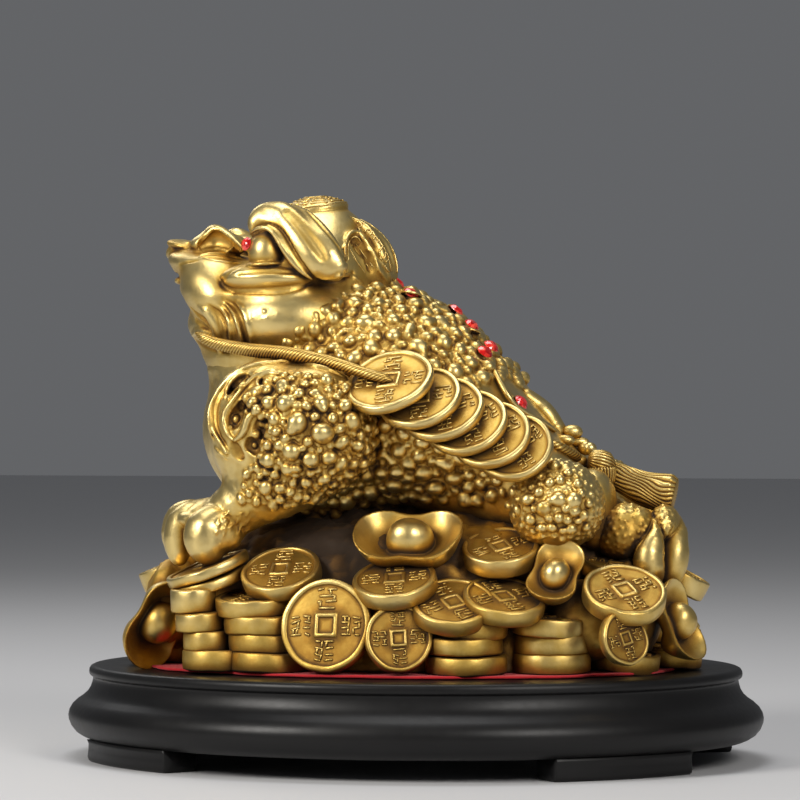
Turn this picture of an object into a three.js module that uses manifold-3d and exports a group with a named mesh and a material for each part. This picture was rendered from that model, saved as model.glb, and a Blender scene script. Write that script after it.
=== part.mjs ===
// Money toad figure: a three-legged toad of cast brass on a heap of coins and ingots,
// with red cut-glass stones, a felt pad and a black moulded oval plinth.
// Millimetres, +Z up, the toad faces -X, origin at the plinth's centre on the table.
import * as THREE from "three";
import { mergeVertices } from "three/addons/utils/BufferGeometryUtils.js";
import Module from "manifold-3d";

const wasm = await Module();
wasm.setup();

// ---------- driving dimensions ----------
const PLINTH_A = 150; // half length of the plinth's widest moulding
const PLINTH_B = 126; // half width of it
const PLINTH_TOP = 39.5; // height of the plate that the figure stands on
const FOOT_H = 9; // height of the bracket feet
const FOOT_FROM = 26, FOOT_TO = 55.5; // degrees along the oval that a foot covers
const FELT_Z = 39.8, FELT_T = 1.2; // felt pad under the casting
const CAST_Z = 41.3; // underside of the casting
const HEAP_A = 109, HEAP_B = 77; // oval that the outer coin stacks stand on
const COIN_R = 16.5, COIN_T = 8; // a usual coin of the heap
const GEM_R = 3.5, GEM_H = 2.3; // a red stone

// ---------- small helpers ----------
const V = (x, y, z) => new THREE.Vector3(x, y, z);
const DEG = Math.PI / 180;

// A closed three.js geometry, moved by a matrix, as a solid.
function solid(geometry, matrix) {
  const g = (geometry.index ? geometry : mergeVertices(geometry)).clone();
  g.deleteAttribute("normal");
  g.deleteAttribute("uv");
  if (matrix) g.applyMatrix4(matrix);
  const m = mergeVertices(g, 1e-3);
  const tri = [];
  const ix = m.index.array;
  for (let i = 0; i < ix.length; i += 3)
    if (ix[i] !== ix[i + 1] && ix[i + 1] !== ix[i + 2] && ix[i] !== ix[i + 2])
      tri.push(ix[i], ix[i + 1], ix[i + 2]);
  const make = (t) => new wasm.Manifold(new wasm.Mesh({ numProp: 3, vertProperties: new Float32Array(m.attributes.position.array), triVerts: new Uint32Array(t) }));
  let s = make(tri);
  if (s.volume() < 0) {
    for (let i = 0; i < tri.length; i += 3) [tri[i + 1], tri[i + 2]] = [tri[i + 2], tri[i + 1]];
    s = make(tri);
  }
  return s;
}
const join = (list) => list.reduce((a, b) => a.add(b));

// Back from a solid to a geometry that a mesh can show.
function geometryOf(s) {
  const m = s.getMesh(), n = m.numProp, v = new Float32Array(m.numVert * 3);
  for (let i = 0; i < m.numVert; i++) v.set(m.vertProperties.subarray(i * n, i * n + 3), i * 3);
  const g = new THREE.BufferGeometry();
  g.setAttribute("position", new THREE.BufferAttribute(v, 3));
  g.setIndex(new THREE.BufferAttribute(new Uint32Array(m.triVerts), 1));
  g.computeVertexNormals();
  return g;
}

// A frame at a point whose +Z is the given direction.
function frameAt(p, normal, spin = 0) {
  const q = new THREE.Quaternion().setFromUnitVectors(V(0, 0, 1), normal.clone().normalize());
  const s = new THREE.Quaternion().setFromAxisAngle(V(0, 0, 1), spin);
  return new THREE.Matrix4().compose(p, q.multiply(s), V(1, 1, 1));
}

// An ellipsoid; slope is how far, in degrees, its long axis falls towards +X.
function ball(c, r, slope = 0, w = 10, h = 6) {
  const m = new THREE.Matrix4().compose(V(...c), new THREE.Quaternion().setFromAxisAngle(V(0, 1, 0), slope * DEG), V(...r));
  return solid(new THREE.SphereGeometry(1, w, h).rotateX(Math.PI / 2), m);
}

// A round bar along a smooth curve, its radius read from a list along the way.
function bar(points, radii, around = 8, steps = 8, flat = 1) {
  const curve = new THREE.CatmullRomCurve3(points.map((p) => V(...p)), false, "centripetal");
  const g = new THREE.CylinderGeometry(1, 1, 1, around, steps, false);
  const pos = g.attributes.position;
  const radiusAt = (t) => {
    const f = t * (radii.length - 1), i = Math.min(Math.floor(f), radii.length - 2);
    return radii[i] + (radii[i + 1] - radii[i]) * (f - i);
  };
  for (let i = 0; i < pos.count; i++) {
    const t = Math.min(1, Math.max(0, pos.getY(i) + 0.5));
    const c = curve.getPoint(t), d = curve.getTangent(t);
    const side = V(0, 0, 1).cross(d);
    if (side.length() < 0.05) side.copy(V(1, 0, 0).cross(d));
    side.normalize();
    const up = d.clone().cross(side).normalize(), r = radiusAt(t);
    const x = pos.getX(i) * r, z = pos.getZ(i) * r * flat;
    pos.setXYZ(i, c.x + side.x * x + up.x * z, c.y + side.y * x + up.y * z, c.z + side.z * x + up.z * z);
  }
  return solid(g);
}

// A coin: a plain disc, or one with a raised rim and a square hole sunk in its face.
function coin(c, normal, r = COIN_R, t = COIN_T, rimmed = false, sides = 10) {
  const rim = r * 0.16, sink = 0.9;
  const profile = rimmed
    ? [[0, -t / 2], [r, -t / 2], [r, t / 2], [r - rim, t / 2], [r - rim, t / 2 - sink], [0, t / 2 - sink]]
    : [[0, -t / 2], [r, -t / 2], [r, t / 2], [0, t / 2]];
  const g = new THREE.LatheGeometry(profile.map(([x, y]) => new THREE.Vector2(x, y)), sides).rotateX(Math.PI / 2);
  return solid(g, frameAt(V(...c), V(...normal)));
}

// A boat-shaped ingot: an oval dish with raised ends and a dome in it.
function ingot(c, normal, spin, size = 1) {
  const a = 23 * size, b = 15.5 * size, h = 13 * size, rise = 7 * size;
  const p = [[0, -0.6], [0.6, -0.5], [1, 0.42], [0.54, 0], [0.4, 0.5], [0, 0.72]];
  const g = new THREE.LatheGeometry(p.map(([x, y]) => new THREE.Vector2(x, y)), 8).rotateX(Math.PI / 2);
  const pos = g.attributes.position;
  for (let i = 0; i < pos.count; i++) {
    const x = pos.getX(i), y = pos.getY(i), z = pos.getZ(i), edge = Math.max(0, Math.hypot(x, y) - 0.5) * 2;
    pos.setXYZ(i, x * a, y * b, z * h + rise * x * x * edge);
  }
  return solid(g, frameAt(V(...c), V(...normal), spin));
}

// ---------- plinth ----------
const ovalScale = new THREE.Matrix4().makeScale(1, PLINTH_B / PLINTH_A, 1);
const A = PLINTH_A;
const plinthProfile = [
  [0, FOOT_H], [A - 6.4, FOOT_H],
  [A - 1.9, 12.4], [A, 17.6], [A - 1.3, 22.4], [A - 7, 26.8],
  [A - 10.4, 31], [A - 10.8, 34], [A - 9.3, 35.4], [A - 9.6, 38.4], [A - 11.2, PLINTH_TOP], [0, PLINTH_TOP],
];
let plinth = solid(
  new THREE.LatheGeometry(plinthProfile.map(([x, y]) => new THREE.Vector2(x, y)), 36).rotateX(Math.PI / 2),
  ovalScale,
);
// One bracket foot: a stretch of the oval rim, cut square at its ends.
function foot(from, to) {
  const shape = new THREE.Shape(), n = 4, out = A - 5.4, inn = A - 24;
  const at = (r, k) => [r * Math.cos((from + ((to - from) * k) / n) * DEG), (r * PLINTH_B / A) * Math.sin((from + ((to - from) * k) / n) * DEG)];
  shape.moveTo(...at(out, 0));
  for (let k = 1; k <= n; k++) shape.lineTo(...at(out, k));
  for (let k = n; k >= 0; k--) shape.lineTo(...at(inn, k));
  return solid(new THREE.ExtrudeGeometry(shape, { depth: FOOT_H + 0.5, bevelEnabled: false, steps: 1 }));
}
for (const base of [[FOOT_FROM, FOOT_TO], [180 - FOOT_TO, 180 - FOOT_FROM], [180 + FOOT_FROM, 180 + FOOT_TO], [360 - FOOT_TO, 360 - FOOT_FROM]])
  plinth = plinth.add(foot(...base));

// ---------- felt pad ----------
const feltShape = new THREE.Shape();
for (let k = 0; k < 32; k++) {
  const f = (k / 32) * 2 * Math.PI, wave = 1.2 * Math.sin(13 * f + 0.7);
  const x = (HEAP_A + COIN_R + 0.4 + wave) * Math.cos(f), y = (HEAP_B + COIN_R + 0.4 + wave) * Math.sin(f);
  k ? feltShape.lineTo(x, y) : feltShape.moveTo(x, y);
}
const felt = solid(new THREE.ExtrudeGeometry(feltShape, { depth: FELT_T, bevelEnabled: false, steps: 1 }), new THREE.Matrix4().makeTranslation(0, 0, FELT_Z));

// ---------- the heap of coins and ingots ----------
const castParts = [];
const mound = [[0, CAST_Z], [105, CAST_Z], [101, 68], [88, 91], [62, 105], [0, 112]];
castParts.push(solid(
  new THREE.LatheGeometry(mound.map(([x, y]) => new THREE.Vector2(x, y)), 12).rotateX(Math.PI / 2),
  new THREE.Matrix4().makeScale(1, 0.72, 1),
));
// A stack of coins of slightly different size, the top one leaning out.
function stack(x, y, count, out, lean) {
  const profile = [[0, 0]];
  for (let k = 0; k < count; k++) {
    const r = COIN_R + 1.1 * Math.sin(1.9 * k + x);
    profile.push([r, k * COIN_T], [r, (k + 1) * COIN_T]);
  }
  profile.push([0, count * COIN_T]);
  const g = new THREE.LatheGeometry(profile.map(([a, b]) => new THREE.Vector2(a, b)), 9).rotateX(Math.PI / 2);
  const pos = g.attributes.position;
  for (let i = 0; i < pos.count; i++)
    if (pos.getZ(i) > (count - 0.5) * COIN_T) pos.setZ(i, pos.getZ(i) - Math.tan(lean * DEG) * (pos.getX(i) * Math.cos(out) + pos.getY(i) * Math.sin(out)));
  return solid(g, new THREE.Matrix4().makeTranslation(x, y, CAST_Z));
}
// Stacks: [angle along the oval in degrees, coins, lean of the top coin in degrees]
const stacks = [
  [198, 2, 6], [221, 4, 8], [241, 4, 12], [291, 3, 10], [311, 3, 6], [333, 2, 8], [356, 1, 4],
  [21, 2, 6], [46, 2, 8], [70, 1, 4], [94, 2, 8], [118, 1, 4], [141, 3, 6], [164, 2, 8], [181, 1, 4],
];
for (const [angle, count, lean] of stacks)
  castParts.push(stack(HEAP_A * Math.cos(angle * DEG), HEAP_B * Math.sin(angle * DEG), count, angle * DEG, lean));
// Coins that lie on the heap: [x, y, z, normal x, y, z, radius, thickness, rimmed]
const laid = [
  [-15.8, -87, 60.5, -0.1, -0.95, 0.28, 19.2, 6, 1], // the large coin that stands in front
  [14.5, -88, 56, 0.3, -0.93, 0.2, 14, 6, 1],
  [104, -70, 55.5, 0.25, -0.92, 0.25, 12.6, 5, 0],
  [-39.3, -72, 81, -0.05, -0.5, 0.86, 16.8, 6.5, 1],
  [10.2, -76, 77, 0, -0.58, 0.81, 17, 7, 1],
  [35, -79, 68.5, 0.1, -0.5, 0.86, 16.8, 7, 0],
  [54.6, -72, 70.5, 0.16, -0.38, 0.91, 17, 7, 0],
  [98, -62, 73.5, 0.3, -0.48, 0.82, 17, 7, 0],
  [50, -52, 85, 0, -0.4, 0.92, 17, 6, 0],
  [-75, -62, 80, 0.16, -0.2, 0.96, 17.5, 11, 0],
  [-98, -18, 72, -0.6, -0.2, 0.77, 17, 6, 0],
  [-74, 62, 83, -0.1, 0.25, 0.96, 17.5, 5.5, 0],
  [-34, 70, 76, 0, 0.52, 0.85, 17, 7, 0],
  [4, 72, 72, 0.05, 0.55, 0.83, 17, 8, 0],
  [44, 68, 76, 0.1, 0.48, 0.87, 17, 7, 0],
  [108, 18, 66, 0.7, 0.12, 0.7, 16.5, 6, 0],
  [20, 90, 57, 0.1, 0.95, 0.28, 17, 6, 0],
];
for (const [x, y, z, nx, ny, nz, r, t, rimmed] of laid)
  castParts.push(coin([x, y, z], [nx, ny, nz], r, t, !!rimmed, rimmed ? 12 : 9));
// Ingots: [x, y, z, normal, spin in degrees, size]
const ingots = [
  [13, -60, 92, 0.02, -0.62, 0.78, 8, 1],
  [77, -64, 79, 0.35, -0.7, 0.62, 70, 0.72],
  [113, -26, 61, 0.75, -0.5, 0.42, 60, 0.95],
  [-104, -40, 55, -0.72, -0.6, 0.34, -60, 0.95],
  [-112, 2, 52, -0.9, 0, 0.42, 90, 0.85],
];
for (const [x, y, z, nx, ny, nz, spin, size] of ingots)
  castParts.push(ingot([x, y, z], [nx, ny, nz], spin * DEG, size));

// ---------- the toad ----------
const torso = [
  { c: [-36, 0, 141], r: [56, 58, 45], slope: 0 },
  { c: [4, 0, 149], r: [72, 62, 41], slope: 38.6 },
  { c: [56, 0, 117], r: [34, 52, 26], slope: 20 },
];
for (const e of torso) castParts.push(ball(e.c, e.r, e.slope, 12, 8));
const head = [
  { c: [-50, 0, 194], r: [45, 49, 30], slope: 12 },
  { c: [-84, 0, 207], r: [30, 34, 14], slope: 22 },
  { c: [-72, 0, 181], r: [33, 38, 17], slope: 22 },
  { c: [-39, 0, 214], r: [30, 36, 24], slope: 8 },
];
for (const e of head) castParts.push(ball(e.c, e.r, e.slope, 12, 6));
// Disc on the crown and the curled crest behind it
castParts.push(coin([-45, 0, 236.6], [0.14, 0, 0.99], 12.5, 6, true, 12));
castParts.push(bar([[-22, -30, 208], [-15, -16, 213], [-13, 0, 215], [-15, 16, 213], [-22, 30, 208]], [3, 8, 9, 8, 3], 6, 4));
for (const s of [-1, 1]) {
  // eye, the bag under it, the two rolls of the brow
  castParts.push(ball([-55, s * 37, 214.5], [10.5, 11, 12]));
  castParts.push(ball([-54, s * 40, 205], [20, 13, 6.5], 4, 10, 5));
  castParts.push(bar([[-66, s * 41, 219], [-62, s * 38, 229], [-52, s * 35, 233.5], [-38, s * 38, 222], [-23, s * 42, 207]], [3, 7, 7.5, 8, 5], 5, 5));
  castParts.push(bar([[-54, s * 24, 235], [-44, s * 27, 236], [-30, s * 34, 224], [-17, s * 38, 208]], [4, 6, 7.5, 5], 5, 3));
  // nostril wing
  castParts.push(bar([[-104, s * 12, 215], [-86, s * 12, 221], [-66, s * 17, 214]], [2.5, 8, 2.5], 5, 4));
  // arm: shoulder, elbow ball, forearm and three toes
  castParts.push(ball([-30, s * 55, 140], [27, 26, 28], 0, 12, 7));
  castParts.push(bar([[-38, s * 55, 124], [-54, s * 56, 112], [-70, s * 56, 100]], [19, 16, 13], 8, 2));
  for (const [k, y] of [[0, 44], [1, 58], [2, 70]])
    castParts.push(bar([[-60, s * (52 + 4 * k), 104], [-77 + 2 * k, s * y, 101 - k], [-87 + 3 * k, s * (y + 1), 94 - k], [-89 + 4 * k, s * (y + 2), 83]], [8, 10, 9, 5], 5, 3));
  // haunch
  castParts.push(ball([67, s * 46, 112], [20, 23, 20]));
}
// the single hind leg and its toes
castParts.push(bar([[56, 0, 116], [80, 0, 108], [97, 0, 100]], [26, 22, 16], 8, 2));
for (const a of [-52, 0, 52]) {
  const c = Math.cos(a * DEG), s = Math.sin(a * DEG);
  castParts.push(bar([[90, s * 6, 106], [96 + c * 8, s * 18, 104], [99 + c * 15, s * 25, 94], [99 + c * 15, s * 27, 80]], [7, 9.5, 8.5, 4.5], 5, 3));
}
// cord from the corner of the mouth, the six strung coins, the cord's knots and its tassel
castParts.push(bar([[-87, -37, 182], [-70, -45, 176.5], [-45, -56, 173], [-20, -64, 171], [0, -68, 163.5], [7, -66, 159]], [2.6, 2.2, 2.2, 2.2, 2.2, 1.8], 5, 7));
for (let k = 0; k < 6; k++) {
  const t = k / 5, r = 19 - 2.6 * t;
  castParts.push(coin([5.7 + 54 * t, -64.5 + 7 * t, 158.8 - 26 * Math.pow(t, 0.85)], [-0.05 + 0.12 * t, -0.77, 0.63], r, 4.2, k === 0, k ? 9 : 12));
}
castParts.push(bar([[30, -30, 166], [46, -32, 151], [60, -24, 141], [70, -12, 137], [77, -10, 130]], [3, 3.4, 3.4, 5, 6], 5, 5));
castParts.push(bar([[77, -10, 131], [84, -10, 123], [92, -9, 117]], [6, 9.5, 6.5], 7, 2));
castParts.push(bar([[90, -9, 118], [103, -9, 113.5], [116.5, -9, 113]], [6, 8, 10.5], 7, 2));

let casting = join(castParts);
casting = casting.subtract(solid(new THREE.BoxGeometry(400, 400, 60), new THREE.Matrix4().makeTranslation(0, 0, CAST_Z - 30)));

// ---------- red stones ----------
// Where a ray from inside leaves a set of ellipsoids, and the outward direction there.
function surface(o, dir, set) {
  let best = 0, normal = null;
  for (const e of set) {
    const q = new THREE.Matrix4().compose(V(...e.c), new THREE.Quaternion().setFromAxisAngle(V(0, 1, 0), e.slope * DEG), V(...e.r)).invert();
    const p = o.clone().applyMatrix4(q), d = o.clone().add(dir).applyMatrix4(q).sub(p);
    const a = d.dot(d), b = p.dot(d), c = p.dot(p) - 1, disc = b * b - a * c;
    if (disc < 0) continue;
    const t = (-b + Math.sqrt(disc)) / a;
    if (t > best) {
      best = t;
      const h = p.clone().addScaledVector(d, t), n = V(h.x / e.r[0], h.y / e.r[1], h.z / e.r[2]);
      normal = n.applyAxisAngle(V(0, 1, 0), e.slope * DEG).normalize();
    }
  }
  return [o.clone().addScaledVector(dir, best), normal];
}
// The seven stones of the back, as [distance along the spine, side] on the slope of the back.
const BACK_STONES = [[-43, 8], [-31, -16], [-15, 2], [-4, -8], [9, -14], [10, -24], [34, -18]];
const SPINE = 38.6 * DEG, SPINE_AT = V(4, 0, 149);
const stones = BACK_STONES.map(([along, side]) => {
  const o = SPINE_AT.clone().add(V(along * Math.cos(SPINE), side * 0.7, -along * Math.sin(SPINE)));
  return surface(o, V(Math.sin(SPINE), side / 130, Math.cos(SPINE)).normalize(), torso);
});
const eyes = [-1, 1].map((s) => surface(V(-55, s * 37, 214.5), V(-0.78, s * 0.42, 0.24).normalize(), [{ c: [-55, s * 37, 214.5], r: [10.5, 11, 12], slope: 0 }]));
const cut = [[0, 0], [GEM_R, 0], [GEM_R, 0.5], [GEM_R * 0.55, GEM_H], [0, GEM_H]];
function stone([p, n], rise, size) {
  const at = frameAt(p.clone().addScaledVector(n, rise), n);
  const disc = (r, z0, z1) => solid(new THREE.CylinderGeometry(r, r, z1 - z0, 7).rotateX(Math.PI / 2).translate(0, 0, (z0 + z1) / 2), at);
  casting = casting.add(disc(GEM_R * size + 1.3, -rise - 2.5, 0.5)).subtract(disc(GEM_R * size + 0.3, -0.3, 6));
  return solid(new THREE.LatheGeometry(cut.map(([x, y]) => new THREE.Vector2(x * size, y * size)), 7).rotateX(Math.PI / 2), at);
}
const gems = [];
eyes.forEach((e, i) => gems.push([i ? "right_eye_stone" : "left_eye_stone", stone(e, 0.2, 0.85)]));
stones.forEach((e, i) => gems.push(["back_stone_" + (i + 1), stone(e, 2, 1)]));

// The casting is solid: small voids shut in where its lumps meet are filled.
casting = join(casting.decompose().filter((b) => b.volume() > 0));

// ---------- the object ----------
const paint = (hex, roughness, metalness) => new THREE.MeshStandardMaterial({ color: hex, roughness, metalness });
const brass = paint(0xb08d3e, 0.32, 1), black = paint(0x17181a, 0.45, 0), redFelt = paint(0xa00d14, 0.95, 0), red = paint(0xc8101c, 0.08, 0);
const toad = new THREE.Group();
function put(name, s, material) {
  const mesh = new THREE.Mesh(geometryOf(s), material);
  mesh.name = name;
  toad.add(mesh);
}
put("plinth", plinth, black);
put("felt_pad", felt, redFelt);
put("toad_casting", casting, brass);
for (const [name, s] of gems) put(name, s, red);

export default toad;
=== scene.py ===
import math

import bpy
import numpy as np
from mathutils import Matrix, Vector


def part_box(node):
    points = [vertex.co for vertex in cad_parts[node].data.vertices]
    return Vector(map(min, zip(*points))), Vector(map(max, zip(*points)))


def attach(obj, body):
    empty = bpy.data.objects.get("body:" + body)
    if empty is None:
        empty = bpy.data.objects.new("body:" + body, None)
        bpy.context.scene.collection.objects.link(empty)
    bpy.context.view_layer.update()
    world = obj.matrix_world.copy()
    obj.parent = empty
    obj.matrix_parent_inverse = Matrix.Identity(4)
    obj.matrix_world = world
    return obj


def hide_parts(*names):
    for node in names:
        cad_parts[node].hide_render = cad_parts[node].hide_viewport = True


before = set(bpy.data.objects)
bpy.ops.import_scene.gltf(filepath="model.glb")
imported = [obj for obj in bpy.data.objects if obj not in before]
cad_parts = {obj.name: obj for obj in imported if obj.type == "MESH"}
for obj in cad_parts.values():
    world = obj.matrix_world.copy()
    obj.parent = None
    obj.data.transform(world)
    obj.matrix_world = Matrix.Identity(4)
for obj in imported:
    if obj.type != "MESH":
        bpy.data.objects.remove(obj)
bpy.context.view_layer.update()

import openvdb
from mathutils import Matrix, Vector

# Lengths are millimetres until a mesh is made. +Z is up, the toad looks towards -X, its left side is towards -Y.
FINE = 0.62  # grain of the carved surfaces
F32 = np.float32

# The eye that the toad is seen from: distance, turn about the upright, height
EYE_TURN = math.radians(13.5)
EYE_DISTANCE, EYE_SHIFT, EYE_HEIGHT = 1700.0, -6.0, 153.0
RIGHT = np.array([math.cos(EYE_TURN), math.sin(EYE_TURN), 0.0])
AWAY = np.array([-math.sin(EYE_TURN), math.cos(EYE_TURN), 0.0])
UP = np.array([0.0, 0.0, 1.0])
EYE = -EYE_DISTANCE * AWAY + EYE_SHIFT * RIGHT + EYE_HEIGHT * UP


# ---------------------------------------------------------------- distance fields
def smin(a, b, k):
    if k <= 0:
        return np.minimum(a, b)
    h = np.clip(0.5 + 0.5 * (b - a) / F32(k), 0, 1)
    return b + (a - b) * h - F32(k) * h * (1 - h)


def smooth_line(points, sub):
    """Catmull-Rom through the points, with sub pieces a span."""
    p = np.array(points, float)
    if len(p) < 3:
        t = np.linspace(0, 1, sub + 1)[:, None]
        return p[0] * (1 - t) + p[1] * t
    q = np.vstack([2 * p[0] - p[1], p, 2 * p[-1] - p[-2]])
    out = []
    for i in range(len(p) - 1):
        a, b, c, d = q[i : i + 4]
        for t in np.arange(sub) / sub:
            out.append(0.5 * (2 * b + (c - a) * t + (2 * a - 5 * b + 4 * c - d) * t * t + (3 * b - a - 3 * c + d) * t**3))
    return np.array(out + [p[-1]])


def lump(c, r, slope=0.0, yaw=0.0):
    """An ellipsoid; its long axis falls towards +X by slope degrees, then turns by yaw about +Z."""
    a, w = math.radians(slope), math.radians(yaw)
    ry = np.array([[math.cos(a), 0, math.sin(a)], [0, 1, 0], [-math.sin(a), 0, math.cos(a)]])
    rz = np.array([[math.cos(w), -math.sin(w), 0], [math.sin(w), math.cos(w), 0], [0, 0, 1]])
    m = rz @ ry
    c, r = np.array(c, float), np.array(r, float)
    half = np.sqrt(((m * r) ** 2).sum(1))

    def f(X, Y, Z):
        x, y, z = X - F32(c[0]), Y - F32(c[1]), Z - F32(c[2])
        k0 = k1 = 0
        for i in range(3):
            u = F32(m[0, i]) * x + F32(m[1, i]) * y + F32(m[2, i]) * z
            k0 = k0 + (u / F32(r[i])) ** 2
            k1 = k1 + (u / F32(r[i] ** 2)) ** 2
        k0 = np.sqrt(k0)
        return k0 * (k0 - 1) / np.maximum(np.sqrt(k1), F32(1e-4))

    return c - half, c + half, f


def bar(points, radii, sub=3, flat=None):
    """A round bar along a smooth line. flat = (direction, factor) presses it flat that way."""
    line = smooth_line(points, sub)
    rad = np.interp(np.linspace(0, 1, len(line)), np.linspace(0, 1, len(radii)), radii)
    lo, hi = (line - rad[:, None]).min(0), (line + rad[:, None]).max(0)
    n, q = (np.zeros(3), 1.0) if flat is None else (np.array(flat[0]) / np.linalg.norm(flat[0]), flat[1])
    g = 1 / q - 1

    def f(X, Y, Z):
        if flat is not None:
            s = (X * F32(n[0]) + Y * F32(n[1]) + Z * F32(n[2])) * F32(g)
            X, Y, Z = X + s * F32(n[0]), Y + s * F32(n[1]), Z + s * F32(n[2])
        pts = line + np.outer(line @ n, n) * g
        best = None
        for a, b, ra, rb in zip(pts[:-1], pts[1:], rad[:-1], rad[1:]):
            e = b - a
            t = ((X - F32(a[0])) * F32(e[0]) + (Y - F32(a[1])) * F32(e[1]) + (Z - F32(a[2])) * F32(e[2])) * F32(1 / max(e @ e, 1e-9))
            t = np.clip(t, 0, 1)
            d = np.sqrt((X - F32(a[0]) - t * F32(e[0])) ** 2 + (Y - F32(a[1]) - t * F32(e[1])) ** 2 + (Z - F32(a[2]) - t * F32(e[2])) ** 2) - (F32(ra) + F32(rb - ra) * t)
            best = d if best is None else np.minimum(best, d)
        return best * F32(q if flat is not None else 1.0)

    return lo, hi, f


def half_space(point, normal):
    """What lies behind a plane, whose normal points out of it."""
    p, n = np.array(point, float), np.array(normal, float) / np.linalg.norm(normal)
    return np.full(3, -1e3), np.full(3, 1e3), lambda X, Y, Z: (X - F32(p[0])) * F32(n[0]) + (Y - F32(p[1])) * F32(n[1]) + (Z - F32(p[2])) * F32(n[2])


class Field:
    def __init__(self, lo, hi, h):
        self.h, self.lo = h, np.array(lo, float)
        n = [int(math.ceil((b - a) / h)) + 1 for a, b in zip(lo, hi)]
        self.ax = [(a + h * np.arange(k)).astype(F32) for a, k in zip(lo, n)]
        self.d = np.full(n, 12.0, F32)

    def window(self, lo, hi, margin):
        sl = []
        for a, l, u in zip(self.ax, lo, hi):
            i = max(0, int(math.floor((l - margin - a[0]) / self.h)))
            j = min(len(a), int(math.ceil((u + margin - a[0]) / self.h)) + 1)
            if j <= i:
                return None
            sl.append(slice(i, j))
        return tuple(sl)

    def put(self, shape, k=0.0, how="add", margin=None):
        lo, hi, f = shape
        sl = self.window(lo, hi, (k * 1.3 + 3.0) if margin is None else margin)
        if sl is None:
            return
        v = f(self.ax[0][sl[0]][:, None, None], self.ax[1][sl[1]][None, :, None], self.ax[2][sl[2]][None, None, :]).astype(F32)
        d = self.d[sl]
        if how == "add":
            self.d[sl] = smin(d, v, k)
        elif how == "cut":
            self.d[sl] = -smin(-d, v, k)
        elif how == "keep":
            self.d[sl] = -smin(-d, -v, k)

    def at(self, p):
        """Trilinear reading at points."""
        g = (np.asarray(p, float) - self.lo) / self.h
        n = np.array(self.d.shape)
        g = np.clip(g, 0, n - 1.001)
        i = g.astype(int)
        f = g - i
        out = 0
        for dx in (0, 1):
            for dy in (0, 1):
                for dz in (0, 1):
                    w = (f[:, 0] if dx else 1 - f[:, 0]) * (f[:, 1] if dy else 1 - f[:, 1]) * (f[:, 2] if dz else 1 - f[:, 2])
                    out = out + w * self.d[i[:, 0] + dx, i[:, 1] + dy, i[:, 2] + dz]
        return out

    def normal(self, p, e=0.8):
        p = np.asarray(p, float)
        g = np.stack([self.at(p + e * np.eye(3)[i]) - self.at(p - e * np.eye(3)[i]) for i in range(3)], 1)
        return g / np.maximum(np.linalg.norm(g, axis=1, keepdims=True), 1e-6)

    def sight(self, side, lift=0.0):
        """Points of the surface met on the way in from the eye, through places given as (across, up)
        millimetres in the upright plane through the origin. lift raises them off the surface."""
        side = np.asarray(side, float)
        far = side[:, :1] * RIGHT + side[:, 1:2] * UP
        d = far - EYE
        d /= np.linalg.norm(d, axis=1, keepdims=True)
        t0 = EYE_DISTANCE - 130.0
        out = np.zeros((len(side), 3))
        for i in range(len(side)):
            t = t0 + 0.4 * np.arange(700)
            p = EYE + t[:, None] * d[i]
            inside = np.all((p > self.lo) & (p < self.lo + self.h * (np.array(self.d.shape) - 1)), axis=1)
            v = np.where(inside, self.at(p), 9.0)
            j = int(np.argmax(v < 0)) if (v < 0).any() else int(np.argmin(v))
            out[i] = p[j]
        n = self.normal(out)
        return out + n * np.reshape(lift, (-1, 1)), n

    def mirrored(self):
        """The whole of a field whose last layer along Y is the toad's middle plane."""
        g = Field.__new__(Field)
        g.h, g.d = self.h, np.concatenate([self.d, self.d[:, -2::-1, :]], axis=1)
        g.lo = self.lo.copy()
        g.ax = [self.ax[0], (self.lo[1] + self.h * np.arange(g.d.shape[1])).astype(F32), self.ax[2]]
        return g


def uneven(field, amount, size, seed, where=None):
    """Soft random swelling of a field's surface, with lumps of about the given size."""
    rng = np.random.default_rng(seed)
    mats = []
    for n in field.d.shape:
        t = np.arange(n) * field.h / size
        i = t.astype(int)
        w = t - i
        w = w * w * (3 - 2 * w)
        m = np.zeros((n, i[-1] + 2), F32)
        m[np.arange(n), i] = 1 - w
        m[np.arange(n), i + 1] = w
        mats.append(m)
    v = rng.standard_normal([m.shape[1] for m in mats]).astype(F32)
    for axis, m in enumerate(mats):
        v = np.moveaxis(np.tensordot(m, v, (1, axis)), 0, axis)
    if where is not None:
        v = v * where
    field.d += F32(amount) * np.clip(v, -2, 2)


def half_field(lo, hi, h):
    """A field from lo to the middle plane, with a layer exactly on the plane."""
    n = int(math.ceil(-lo[1] / h))
    return Field((lo[0], -n * h, lo[2]), (hi[0], 0.0, hi[2]), h)


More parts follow.
